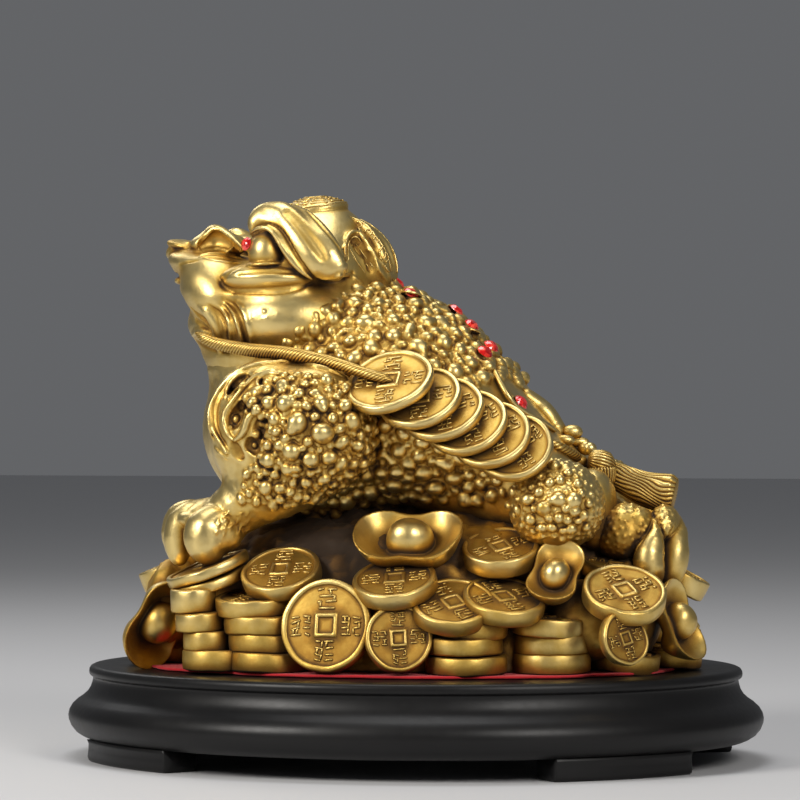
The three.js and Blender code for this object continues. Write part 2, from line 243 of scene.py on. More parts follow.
def spots(field, keep, classes, seed, taken=None, spacing=0.96):
    """Scatters warts over the surface of a field, the largest first: points, normals and radii."""
    rng = np.random.default_rng(seed)
    near = np.argwhere(np.abs(field.d) < 0.6 * field.h)
    p = field.lo + near * field.h
    p = p[rng.permutation(len(p))[: (60000)]]
    n = field.normal(p)
    p = p - n * field.at(p)[:, None]
    ok = keep(p, n)
    p, n = p[ok], n[ok]
    cell = 2.2 * max(c[1] for c in classes)
    grid = {} if taken is None else taken
    out = []
    for small, large, tries in classes:
        pick = rng.permutation(len(p))[:tries]
        rr = rng.uniform(small, large, len(pick))
        for i, r in zip(pick, rr):
            q = p[i]
            key = tuple((q // cell).astype(int))
            free = True
            for dx in (-1, 0, 1):
                for dy in (-1, 0, 1):
                    for dz in (-1, 0, 1):
                        for o in grid.get((key[0] + dx, key[1] + dy, key[2] + dz), ()):
                            s = (r + o[3]) * spacing
                            if (q[0] - o[0]) ** 2 + (q[1] - o[1]) ** 2 + (q[2] - o[2]) ** 2 < s * s:
                                free = False
                                break
                        if not free:
                            break
                    if not free:
                        break
                if not free:
                    break
            if free:
                grid.setdefault(key, []).append((q[0], q[1], q[2], r))
                out.append((q, n[i], r))
    return out


def put_spots(field, warts, sink=0.15, k=0.45, seed=3):
    """Warts as uneven pebbles, some of them double."""
    rng = np.random.default_rng(seed)
    for p, n, r in warts:
        a = rng.uniform(0.84, 1.16, 3)
        a *= r / a.prod() ** (1 / 3)
        slope, yaw, twin, turn = rng.uniform(0, 90), rng.uniform(0, 180), rng.uniform(), rng.uniform(0, 6.28)
        low = sink + 0.3 * min(max(2.1 - r, 0.0), 1.0)
        field.put(lump(p - n * low * r, a, slope, yaw), k, margin=1.2)
        if r > 1.9 and twin < 0.26:
            x = np.cross(n, (0.3, 0.1, 0.95))
            x /= np.linalg.norm(x)
            side = x * math.cos(turn) + np.cross(n, x) * math.sin(turn)
            q = p + side * r * 0.72
            q = q - n * (field.at(q[None])[0] * 0.4 + 0.5 * sink * r)
            field.put(lump(q, a[[1, 2, 0]] * 0.62, yaw / 2, slope), k, margin=1.2)


# ---------------------------------------------------------------- meshes
PIECES = []


def mesh_object(name, points, faces, colour=None):
    """points in millimetres; faces as an array of triangles or quads, or a list of both arrays."""
    faces = [np.asarray(f, np.int32) for f in (faces if isinstance(faces, list) else [faces]) if len(f)]
    me = bpy.data.meshes.new(name)
    points = np.asarray(points, float) / 1000.0
    loops = np.concatenate([f.ravel() for f in faces])
    sizes = np.concatenate([np.full(len(f), f.shape[1], np.int32) for f in faces])
    starts = np.concatenate([[0], np.cumsum(sizes)[:-1]]).astype(np.int32)
    me.vertices.add(len(points))
    me.vertices.foreach_set("co", points.astype(F32).ravel())
    me.loops.add(len(loops))
    me.loops.foreach_set("vertex_index", loops.astype(np.int32))
    me.polygons.add(len(sizes))
    me.polygons.foreach_set("loop_start", starts)
    me.polygons.foreach_set("use_smooth", np.ones(len(sizes), bool))
    me.update(calc_edges=True)
    me.validate()
    ob = bpy.data.objects.new(name, me)
    bpy.context.scene.collection.objects.link(ob)
    return ob


def polygonise(field, name, most=150000):
    """The zero surface of a field as an object of at most so many triangles, with how deep each point lies in a hollow."""
    lim = 3.0 * field.h
    g = openvdb.FloatGrid(lim)
    g.copyFromArray(np.ascontiguousarray(np.clip(field.d, -lim, lim)))
    g.transform = openvdb.createLinearTransform(voxelSize=field.h)
    pts, tris, quads = g.convertToPolygons(isovalue=0.0, adaptivity=0.0)
    pts = np.asarray(pts, float) + field.lo
    faces = [np.asarray(f, np.int64) for f in (quads, tris) if len(f)]
    # outward faces: the volume that the faces enclose is positive
    vol = 0.0
    for f in faces:
        for j in range(1, f.shape[1] - 1):
            a, b, c = pts[f[:, 0]], pts[f[:, j]], pts[f[:, j + 1]]
            vol += np.einsum("ij,ij->i", a, np.cross(b, c)).sum()
    if vol < 0:
        faces = [f[:, ::-1].copy() for f in faces]
    ob = mesh_object(name, pts, faces)
    count = sum(len(f) * (f.shape[1] - 2) for f in faces)
    if count > most:
        mod = ob.modifiers.new("fewer", "DECIMATE")
        mod.ratio = most / count
        less = bpy.data.meshes.new_from_object(ob.evaluated_get(bpy.context.evaluated_depsgraph_get()))
        ob.modifiers.clear()
        old, ob.data = ob.data, less
        bpy.data.meshes.remove(old)
        less.name = name
        less.polygons.foreach_set("use_smooth", np.ones(len(less.polygons), bool))
    pts = np.empty(len(ob.data.vertices) * 3, F32)
    ob.data.vertices.foreach_get("co", pts)
    pts = pts.reshape(-1, 3).astype(float) * 1000
    n = field.normal(pts, 0.6)
    hollow = 0.0
    for reach, share in ((0.9, 0.35), (2.2, 0.4), (5.0, 0.25)):
        hollow = hollow + share * np.clip(1 - field.at(pts + n * reach) / reach, -0.3, 1)
    att = ob.data.attributes.new("hollow", "FLOAT", "POINT")
    att.data.foreach_set("value", np.clip(hollow, 0, 1).astype(F32))
    return ob


# ---------------------------------------------------------------- the toad's body
TORSO = [
    (lump((-36, 0, 141), (56, 55, 45)), 0),
    (lump((4, 0, 149), (72, 57, 40.5), 38.6), 12),
    (lump((56, 0, 117), (34, 50, 26), 20), 10),
]
HEAD = [
    (lump((-41, 0, 207), (26, 33, 25)), 0),
    (lump((-42.5, 0, 213.5), (24, 21, 25.5)), 6),
    (lump((-50, -18, 187), (31, 31.5, 17)), 8),
    (lump((-48, -25, 186), (29, 24.5, 19)), 5),
    (lump((-84, 0, 209), (25.0, 30, 8.3), 14), 8),
    (lump((-78.5, 0, 200.5), (24, 35, 12), 4), 6),
    (lump((-72, 0, 186), (27, 36.5, 15), 0), 6),
    (lump((-60, 0, 170), (32, 38, 22)), 8),
]


def base(field, with_head=True, with_torso=True):
    first = True
    for group, on in ((TORSO, with_torso), (HEAD, with_head)):
        if on:
            for s, k in group:
                field.put(s, 0 if first else max(k, 9 if s is HEAD[0][0] else 0), margin=14)
                first = False
    # the back is flatter where the strap lies
    field.put(half_space((62.9, 0, 140.1), (0.746, 0, 0.666)), 3, "keep")
    # the throat draws in over the chest
    field.put(lump((-97.5, 0, 163), (9.5, 46, 7.5)), 5, "cut", margin=10)


# Places on the toad's near side are given as they are seen from the eye, (u, v) in a view 800 wide,
# and a third number is the depth Y where the place doesn't simply lie on the surface.
def seen(points):
    return [((u - 414) * 0.429, 153 + (398 - v) * 0.429) for u, v in points]


def spot(u, v, Y):
    """The place at depth Y that the eye sees at (u, v)."""
    far = (u - 414) * 0.429 * RIGHT + (153 + (398 - v) * 0.429) * UP
    d = far - EYE
    return EYE + d * ((Y - EYE[1]) / d[1])


def to_view(p):
    """Where the eye sees points of the toad: the other way round."""
    d = p - EYE
    t = (-EYE @ AWAY) / (d @ AWAY)
    far = EYE + d * t[:, None]
    return far @ RIGHT / 0.429 + 414, 398 - (far[:, 2] - 153) / 0.429


def lay(field, points, radii, lift=0.0, k=0.5, sub=3, how="add"):
    """A bar laid on the surface, or a groove cut in it."""
    p, _ = field.sight(seen(points), lift)
    field.put(bar(p, radii, sub), k, how)
    return p


def fly(field, points, radii, k=0.5, sub=3, how="add"):
    """A bar through places whose depth is given."""
    p = [spot(*q) for q in points]
    field.put(bar(p, radii, sub), k, how)
    return p


def dig(field, u, v, wide, high, deep, turn=0.0, k=0.6, sink=0.0, how="cut"):
    """An oval hollow in the surface: half width and half height in view units, depth in mm."""
    p, n = field.sight(seen([(u, v)]))
    field.put(lump(p[0] - n[0] * sink, (wide * 0.429, deep, high * 0.429), turn, 13.5), k, how)
    return p[0]


def carve_head():
    f = half_field((-119, -58, 156), (0, 0, 246), FINE)
    base(f)
    # mass of the brow, hollow of the socket, eyeball and the thick bag under it
    f.put(lump((-51.5, -29, 221.5), (12.5, 12.5, 10), 20), 4)
    f.put(lump((-45, -33, 214), (15, 12, 14), 40), 4)
    f.put(lump(spot(222, 296, -27), (12, 13.5, 10), 0), 6)
    f.put(lump(spot(212, 284, -24), (12, 12, 11), 0), 6)
    fly(f, [(230, 291, -35.9), (250, 292, -41.6), (268, 292.5, -43.6), (288, 291.5, -42.6), (303, 288, -40)], [3.0, 3.2, 3.2, 3.2, 2.8], 3.4)
    f.put(lump((-55.0, -36, 204.6), (20.4, 13.8, 6.9), 1), 1.2)
    f.put(lump((-54.0, -45.0, 217.5), (9.8, 6.0, 8.2), 35), 1.2, "cut")
    f.put(lump((-54.4, -38.9, 215.0), (8.2, 8.8, 9.8)), 0.4)
    f.put(lump((-61.3, -41.2, 218.3), (3.0, 3.0, 3.0)), 0.6)
    f.put(lump((-54.6, -38.8, 210.2), (9.8, 9.8, 2.0), -3), 0.5)
    lay(f, [(238, 272), (248, 270.6), (264, 270), (282, 270.4), (296, 271.4)], [0.2, 0.5, 0.6, 0.5, 0.2], 0.1, 1.2, how="cut")
    # crease round the bag
    lay(f, [(243, 263), (233, 268), (225, 275), (221.5, 281), (225.5, 286.5), (234, 290)], [0.3, 0.5, 0.6, 0.5, 0.4, 0.3], 0.35, 1.4, how="cut")
    lay(f, [(234, 290.6), (248, 291.4), (268, 291.6), (286, 290.6), (300, 286.8), (313, 280)], [0.3, 0.4, 0.4, 0.4, 0.5, 0.4], 0.2, 0.8, how="cut")
    # the two rolls of the brow, with a shallow valley between them
    fly(f, [(293, 211, -27), (302.5, 217, -31), (313, 228, -35), (322, 240, -38), (330.5, 253, -40), (337.5, 264, -40.8), (339.5, 269.5, -40)], [3.6, 4.6, 5.3, 5.7, 5.6, 4.4, 2.2], 1.8)
    fly(f, [(254.5, 231, -38.5), (255.5, 221, -37), (261, 214.5, -35.5), (270, 211.5, -35), (281, 214.5, -36.4), (290.5, 227, -39.2), (300, 241.5, -41.4), (309, 254.5, -42.6), (316.5, 264.5, -43), (322.5, 271.5, -42)], [1.8, 3.4, 4.4, 5.0, 5.6, 5.8, 5.9, 5.6, 4.2, 2.2], 1.8)
    fly(f, [(259, 223, -37), (265, 218, -37), (276, 223, -38.5), (285, 234, -41)], [3, 4.2, 4.2, 3.4], 1.5)
    fly(f, [(284, 211.5, -34.4), (293, 219.5, -37), (303, 232, -39.6), (312.5, 245, -41.4), (321, 257.5, -42.2), (329, 268, -42)], [4.2, 5.0, 5.5, 5.6, 5.4, 4.0], 3.0)
    lay(f, [(288, 210), (297, 219), (307, 231.5), (316, 244), (323, 254)], [0.3, 0.8, 1.0, 1.0, 0.5], 0.5, 3.5, how="cut")
    f.put(lump(spot(332, 269.5, -38), (5.2, 5, 3.4), 30, 13.5), 2.0)
    lay(f, [(306.5, 208.5), (316, 218.5), (327.5, 231), (337.5, 243.5), (346, 258), (352.5, 271)], [0.3, 0.5, 0.6, 0.7, 0.8, 0.7], 0.15, 0.7, how="cut")
    # the double lid
    fly(f, [(250.5, 232, -42.5), (254.5, 228, -44), (259.5, 225.9, -45.2), (266, 226, -46.2), (272, 229.7, -46.8), (277, 236.5, -47.2), (282, 245.5, -47.6), (288, 254.5, -47.4), (295, 262.8, -47.0), (303, 270.5, -46.2), (312, 277, -44.6)], [0.5, 0.8, 0.9, 0.95, 1.0, 1.0, 1.0, 1.0, 1.0, 0.9, 0.5], 0.45)
    fly(f, [(268, 225, -43.6), (275, 230, -44.6), (281, 238, -45.2), (287, 248, -45.6), (294, 258, -45.6), (302, 267, -45.0), (309, 274, -43.6)], [1.2, 1.8, 2.2, 2.4, 2.4, 2.0, 1.2], 0.8)
    lay(f, [(263, 221.6), (270, 221.8), (277, 224.8), (284, 231), (290.5, 241.4), (297, 253), (305, 264.5), (313.5, 274)], [0.2, 0.35, 0.4, 0.5, 0.5, 0.5, 0.5, 0.3], 0.1, 0.6, how="cut")
    # small curls at the end of the rolls
    lay(f, [(335, 275.5), (341, 273), (348, 273.2), (355, 276.3), (362, 281.5)], [0.7, 1.0, 1.0, 0.9, 0.5], 0.0, 0.4)
    lay(f, [(320, 279.5), (327, 282.5), (336, 282.6), (345, 279.5)], [0.5, 0.8, 0.8, 0.5], 0.0, 0.4)
    # nostril wing: a thin peaked flange, a little hollow towards the side
    wing = [(197, 245, -20), (200, 240.5, -19.8), (205, 235, -19.4), (210.5, 229, -19.2), (215.5, 225.6, -19.2), (221, 228.2, -20.4), (229, 234.2, -23.2), (236.5, 240.2, -26.6), (243, 246, -30)]
    f.put(lump(spot(219, 243, -15), (12.5, 7.6, 5.8), 0, 13.5), 2.2)
    f.put(bar([spot(203, 242, -16.5), spot(209, 235.5, -16), spot(215, 231.5, -16.4), spot(222, 234, -18.4), spot(231, 239.5, -22), spot(239, 245.5, -26)], [3.0, 3.6, 4.0, 3.8, 3.2, 2.2], 3), 1.6)
    f.put(bar([spot(204.5, 243.2, -22.0), spot(213, 239.2, -21.0), spot(222, 241.4, -22.8), spot(232, 246.2, -27.2)], [3.2, 4.8, 4.8, 3.4], 3), 0.5, "cut")
    fly(f, wing, [0.6, 0.8, 0.85, 0.9, 1.0, 0.9, 0.85, 0.8, 0.5], 0.3)
    lay(f, [(203, 248.2), (213, 246.6), (222, 246.6), (232, 249.4), (241, 253.4)], [0.25, 0.4, 0.4, 0.4, 0.25], 0.15, 0.3)
    # a slim leaf with crisp edges between nostril and eye
    lay(f, [(203, 255.4), (212, 255.2), (222, 256.6), (232, 258.4), (241, 258.6)], [0.5, 0.9, 1.1, 1.0, 0.4], 0.2, 0.6, how="cut")
    lay(f, [(199, 254.2), (206, 252.6), (215, 252), (226, 253.6), (236, 256), (243, 257.2)], [0.35, 0.7, 0.8, 0.8, 0.7, 0.4], 0.25, 0.5)
    lay(f, [(199, 255.2), (209, 257.8), (220, 260), (232, 261.2), (242, 260.4)], [0.3, 0.5, 0.6, 0.6, 0.3], 0.25, 0.5)
    # tip of the snout: a thin curled plate over the blunt muzzle, and the fold under it
    f.put(lump((-98.0, 0, 218.8), (12.0, 15.8, 3.1), 14), 0.8)
    f.put(bar([spot(188, 243, -12), spot(179, 245.6, -9), spot(172.6, 249.4, -5), spot(171.6, 252, 0)], [1.6, 2.2, 2.5, 2.5], 3), 0.9)
    f.put(bar([spot(200, 251.5, -17), spot(188, 251.4, -15), spot(181, 256, -11), spot(178.8, 262.5, -6), spot(179.2, 265, 0)], [1.4, 2.4, 2.8, 2.8, 2.8], 3), 1.6)
    f.put(lump((-103.0, 0, 205.2), (3.8, 6, 1.9), -10), 1.0)
    lay(f, [(178, 248.6), (186, 246.8), (194, 247.2)], [0.3, 0.5, 0.3], 0.2, 0.6, how="cut")
    lay(f, [(180, 262), (188, 260.4), (198, 258.8)], [0.3, 0.5, 0.3], 0.1, 0.8, how="cut")
    # mouth: a slot under the upper lip, the lower lip rolled
    lay(f, [(191, 305.5), (197, 311.5), (204, 317), (210.5, 323.5)], [0.4, 0.9, 1.1, 0.6], 0.1, 0.8, how="cut")
    lay(f, [(196, 318), (201.5, 322), (207.5, 326.5)], [0.8, 1.2, 0.8], 0.3, 1.2, how="cut")
    lay(f, [(193.4, 333), (197.5, 330), (203.5, 329.4), (210.5, 331), (219, 335)], [1.0, 1.6, 1.7, 1.5, 1.0], 0.0, 0.8)
    lay(f, [(195, 337.5), (203, 342.5), (214, 346.4), (228, 350)], [0.5, 0.8, 0.9, 0.6], 0.2, 1.0, how="cut")
    # folds behind the corner of the mouth: one broad, two narrow and one soft, with grooves between
    lay(f, [(200, 305.5), (207, 309.5), (213, 316.5), (217, 325), (219.3, 335), (220, 346)], [1.0, 2.4, 2.8, 2.8, 2.6, 2.0], -0.3, 0.9)
    lay(f, [(217, 302), (223.4, 308), (228, 316), (230.3, 325), (231.6, 336), (232, 346)], [0.4, 1.0, 1.2, 1.2, 1.1, 0.8], 0.0, 0.6)
    lay(f, [(225, 301), (231.6, 309), (236.8, 319), (240, 328), (243, 338), (245, 348)], [0.4, 0.9, 1.1, 1.1, 1.1, 0.8], 0.1, 0.6)
    lay(f, [(237, 300.5), (242, 307.5), (247, 319), (251.5, 333), (254, 346)], [0.4, 1.2, 1.5, 1.5, 1.0], -0.2, 1.4)
    lay(f, [(208, 302.5), (217.5, 309.2), (223.8, 318), (226.8, 327), (228.0, 337), (228.4, 346)], [0.3, 0.75, 0.95, 0.95, 0.9, 0.6], 0.1, 0.5, how="cut")
    lay(f, [(221, 303), (228, 309.5), (232.5, 317.5), (235, 327), (236.8, 338), (238, 346)], [0.2, 0.8, 1.0, 1.0, 0.9, 0.6], 0.5, 0.8, how="cut")
    lay(f, [(223, 296.6), (232.5, 302.6), (238.6, 311), (242.8, 322), (246.5, 336), (249, 347)], [0.3, 1.1, 1.5, 1.5, 1.4, 0.9], 0.3, 0.6, how="cut")
    # crown: a domed round patch with a ring of bars
    crown, tilt = np.array([-43.6, 0, 238.6]), math.radians(7)
    nz = np.array([math.sin(tilt), 0, math.cos(tilt)])
    nx = np.array([math.cos(tilt), 0, -math.sin(tilt)])
    g = Field(f.lo, f.lo + f.h * (np.array(f.d.shape) - 1), f.h)
    g.put(lump((-42, 0, 213.8), (26.3, 22.4, 27.2)), margin=8)
    g.put(disc(crown - nz * 6, nz, 14.2, 22), 0.4, "keep", margin=30)
    f.d = smin(f.d, g.d, 0.5)

    # collar behind the skull with cloud curls, and the arch on the skull's side
    g = Field(f.lo, f.lo + f.h * (np.array(f.d.shape) - 1), f.h)
    g.put(lump((-36.5, 0, 203), (26.6, 30, 31.0)), margin=8)
    g.put(half_space((-26.5, 0, 233.5), (-0.86, 0.0, -0.51)), 0.8, "keep")
    f.d = smin(f.d, g.d, 0.5)
    fly(f, [(349, 244, -11.5), (359, 256, -10.5), (369, 267, -8.5), (378, 278, -5)], [5.6, 6, 6, 5.5], 3)
    fly(f, [(352, 219.5, -3), (360, 224, -4), (367, 230.5, -5.5), (374, 239.5, -7), (379.5, 250, -7.5), (384, 262, -7), (387, 272, -6)], [1.4, 2.0, 2.4, 2.6, 2.6, 2.4, 1.8], 1.4)
    dig(f, 358, 244, 8, 13, 1.3, -22, 0.5)
    dig(f, 355.5, 239, 5, 5, 1.2, 0, 0.5)
    dig(f, 370, 260, 8, 14, 0.8, -40, 0.5)
    lay(f, [(345.6, 258.5), (345, 246), (346, 238.5), (349.4, 232.4), (353.5, 230.4), (358.5, 231.8), (363, 236.4), (367.5, 242.4), (372.5, 249.4), (377, 255), (382, 261), (388, 269)], [0.5, 0.9, 1.0, 1.1, 1.1, 1.1, 1.0, 0.9, 0.8, 0.8, 0.7, 0.5], 0.2, 0.4)
    lay(f, [(349, 214), (356, 220.5), (362.5, 227.5), (368.7, 236.5), (373, 244.5), (377.5, 252.5), (381, 259)], [0.3, 0.6, 0.7, 0.7, 0.7, 0.6, 0.3], 0.1, 0.4, how="cut")
    for u, v, r in ((253, 315.5, 0.8), (259.5, 312, 0.6), (264.3, 309.5, 0.9), (264, 317, 0.8), (267, 315.5, 0.8), (277.5, 311.5, 0.4)):
        p, n = f.sight(seen([(u, v)]), -0.2)
        f.put(lump(p[0], (r, r, r)), 0.5, margin=1.5)
    return f


def disc(c, n, r, t):
    """A flat round plate: centre, normal, radius, thickness."""
    c, n = np.array(c, float), np.array(n, float) / np.linalg.norm(n)
    half = np.sqrt(np.maximum(1 - n * n, 0)) * r + np.abs(n) * t / 2

    def f(X, Y, Z):
        x, y, z = X - F32(c[0]), Y - F32(c[1]), Z - F32(c[2])
        a = x * F32(n[0]) + y * F32(n[1]) + z * F32(n[2])
        rad = np.sqrt(np.maximum(x * x + y * y + z * z - a * a, 0)) - F32(r)
        a = np.abs(a) - F32(t / 2)
        return np.minimum(np.maximum(rad, a), 0) + np.sqrt(np.maximum(rad, 0) ** 2 + np.maximum(a, 0) ** 2)

    return c - half, c + half, f


def ring(c, n, r, thick):
    """A round wire ring: centre, normal, radius, radius of the wire."""
    c, n = np.array(c, float), np.array(n, float) / np.linalg.norm(n)
    half = np.sqrt(np.maximum(1 - n * n, 0)) * r + thick

    def f(X, Y, Z):
        x, y, z = X - F32(c[0]), Y - F32(c[1]), Z - F32(c[2])
        a = x * F32(n[0]) + y * F32(n[1]) + z * F32(n[2])
        rad = np.sqrt(np.maximum(x * x + y * y + z * z - a * a, 0)) - F32(r)
        return np.sqrt(rad * rad + a * a) - F32(thick)

    return c - half, c + half, f


def carve_torso():
    f = half_field((-98, -72, 88), (100, 0, 214), FINE * 1.05)
    base(f)
    # the flank draws in under the strung coins, and behind the haunch
    f.put(lump((28, -68, 108), (34, 26, 21), 8), 10, "cut")
    f.put(lump((101, -40, 108), (15, 24, 24), 0), 7, "cut")
    f.put(half_space((60, 0, 93), (0.12, 0, -0.99)), 4, "keep", margin=0)
    f.put(lump(spot(596, 508, -26), (9, 12, 17)), 6)
    f.put(lump((71.5, -46, 109.5), (19.0, 19.4, 18.4), 0), 1.6)
    # the head's own surface lies over this piece: it is set back under the head
    X, Z = f.ax[0][:, None, None], f.ax[2][None, None, :]
    over = (Z - F32(200.0)) + (X + F32(14.0)) * F32(-0.9)  # above the line from the crest's foot down to the throat
    f.d = f.d + np.clip(over * F32(0.25), 0, 2.0) * np.clip((Z - F32(166)) / F32(6), 0, 1)

    skin = lambda p, n: torso_skin(p) & (p[:, 1] < 0.3)
    warts = spots(f, skin, [(3.5, 4.4, 400), (2.8, 3.4, 1200), (2.1, 2.7, 4000), (1.4, 1.9, 9000)], 11, {}, 0.82)
    put_spots(f, warts, 0.22, 0.4)
    uneven(f, 0.09, 2.0, 5)
    uneven(f, 0.14, 6.0, 6)
    return f


def torso_skin(p, strap=True):
    """Which points of the torso carry warts; the broad strap leaves a smooth way over the back."""
    x, y, z = p[:, 0], p[:, 1], p[:, 2]
    neck = z - 200.0 - 0.9 * (x + 14.0)
    chest = (x < -58) & (z < 172) | (x < -40) & (z < 120)
    below = z < 96
    cheek = (z - 178) * 0.5 - (x + 47) * 1.0 > 0
    clear = np.ones(len(p), bool)
    for s in STONES:
        clear &= ((p - s) ** 2).sum(1) > 5.4**2
    u, v = to_view(p)
    for side in (1, -1):
        a, b = to_view(p * (1, side, 1))
        way = (74 * (a - 514) - 62 * (b - 386) > 0) & (b > 376) & (b < 480) & ~((a < 517) & (b < 402))
        clear &= ~way if strap else True
    haunch = ((p - (71.5, -46, 109.5)) ** 2).sum(1) < 23**2
    band = (v > 498) & (u > 400) & (p[:, 1] < -20) | (u > 590) & (v > 462)
    return (neck < 5) & ~chest & ~below & ~cheek & clear & ~haunch & ~band


HAUNCH_WARTS = [
    # the largest warts of the haunch: place and radius in view units
    (514.4, 490, 5.5), (528.7, 497.5, 6.0), (540, 490.6, 4.4), (543.7, 507, 6.6), (510, 503.7, 4.4), (518.7, 508, 4.8), (530.6, 517, 5.4), (558, 497.5, 6.2), (558.7, 515.6, 4.6),
    (573.7, 498.7, 6.6), (575, 509.7, 4.8), (583, 513.5, 5.2), (542.5, 525.6, 4.6), (552.5, 525.6, 4.2), (562.5, 528.7, 4.0), (571, 526.6, 5.0), (585.5, 524.7, 4.6), (560, 478.7, 4.6),
    (567.5, 471.5, 4.4), (555, 465, 5.6), (541, 475, 4.0), (550, 481, 4.4), (577.5, 482.5, 4.4), (550, 499, 4.0), (565.6, 507, 4.0), (581, 491.5, 4.2), (534.4, 507, 3.6), (549, 516.5, 4.0),
    (567.5, 518, 4.2), (577.5, 519, 3.8), (524, 487, 3.4), (532, 485.5, 3.4), (588, 502, 4.0), (522, 524, 3.6), (533, 529, 3.6),
]


def build_haunches():
    f = Field((49, -70, 86), (95, -30, 134), 0.5)
    f.put(lump((71.5, -46, 109.5), (19.6, 20, 19), 0))
    taken, placed = {}, []
    for u, v, r in HAUNCH_WARTS:
        p, n = f.sight(seen([(u, v)]))
        r *= 0.429 * 1.2
        placed.append((p[0], n[0], r))
        taken.setdefault(tuple((p[0] // (2.2 * 1.7)).astype(int)), []).append((*p[0], r))

    def ball(p, n):
        u, v = to_view(p)
        return ((u - 575) * 0.7 - (v - 470) * 0.7 < 12) & (n[:, 1] < 0.25) & (v < 538)

    small = spots(f, ball, [(1.3, 1.7, 2500), (0.95, 1.25, 5000)], 12, taken, 0.94)
    put_spots(f, placed, 0.0, 0.3, 4)
    put_spots(f, small, 0.34, 0.35, 7)
    uneven(f, 0.08, 1.8, 5)
    uneven(f, 0.12, 4.5, 6)
    f.put(half_space((0, -33, 0), (0, 1, 0)), 0, "keep")
    g = Field.__new__(Field)
    g.h, g.d = f.h, f.d[:, ::-1, :]
    g.lo = np.array([f.lo[0], -(f.lo[1] + f.h * (f.d.shape[1] - 1)), f.lo[2]])
    return [polygonise(f, "toad_haunch_left", 38000), polygonise(g, "toad_haunch_right", 24000)]


STONES = [(np.array(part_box(n)[0]) + np.array(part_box(n)[1])) * 500 for n in sorted(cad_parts) if n.startswith("back_stone")]
# the lowest one lies beside the strap, under the last warts
STONES[6] = np.array(spot(522.2, 399.6, -25), float)
SHOULDER_WARTS = [
    # the largest warts of the shoulder: place and radius in view units
    (323, 431, 9.0), (298, 421, 8.2), (351, 420, 7.6), (292, 449, 7.4), (311, 457, 7.0), (329, 455, 6.4), (340, 461, 6.4), (286, 402, 7.0), (283, 386, 6.4),
    (269, 402, 6.2), (321, 402, 6.6), (345, 404, 6.0), (307, 405, 4.8), (299, 392, 5.0), (316, 393, 4.4), (341, 440, 6.6), (357, 443, 6.0), (270, 457, 6.6), (288, 466, 5.6),
    (297, 466, 4.6), (266, 485, 6.2), (281, 486, 5.2), (291, 489, 4.4), (307, 479, 5.6), (316, 483, 4.6), (324, 476, 6.0), (333, 482, 4.4), (298, 494, 4.8), (305, 495, 4.4),
    (275, 417, 5.2), (268, 389, 5.2), (326, 380, 6.4), (305, 383, 4.6), (344, 387, 4.4), (361, 461, 5.0), (349, 472, 4.6), (269, 443, 4.4), (280, 443, 4.6), (257, 481, 3.6),
    (276, 472, 4.6), (267, 469, 4.0), (332, 417, 5.2), (315, 415, 4.6), (366, 425, 5.0), (356, 396, 4.8), (292, 378, 4.2), (277, 379, 3.8), (336, 396, 3.8), (250, 492, 3.6), (257, 499, 3.8),
]


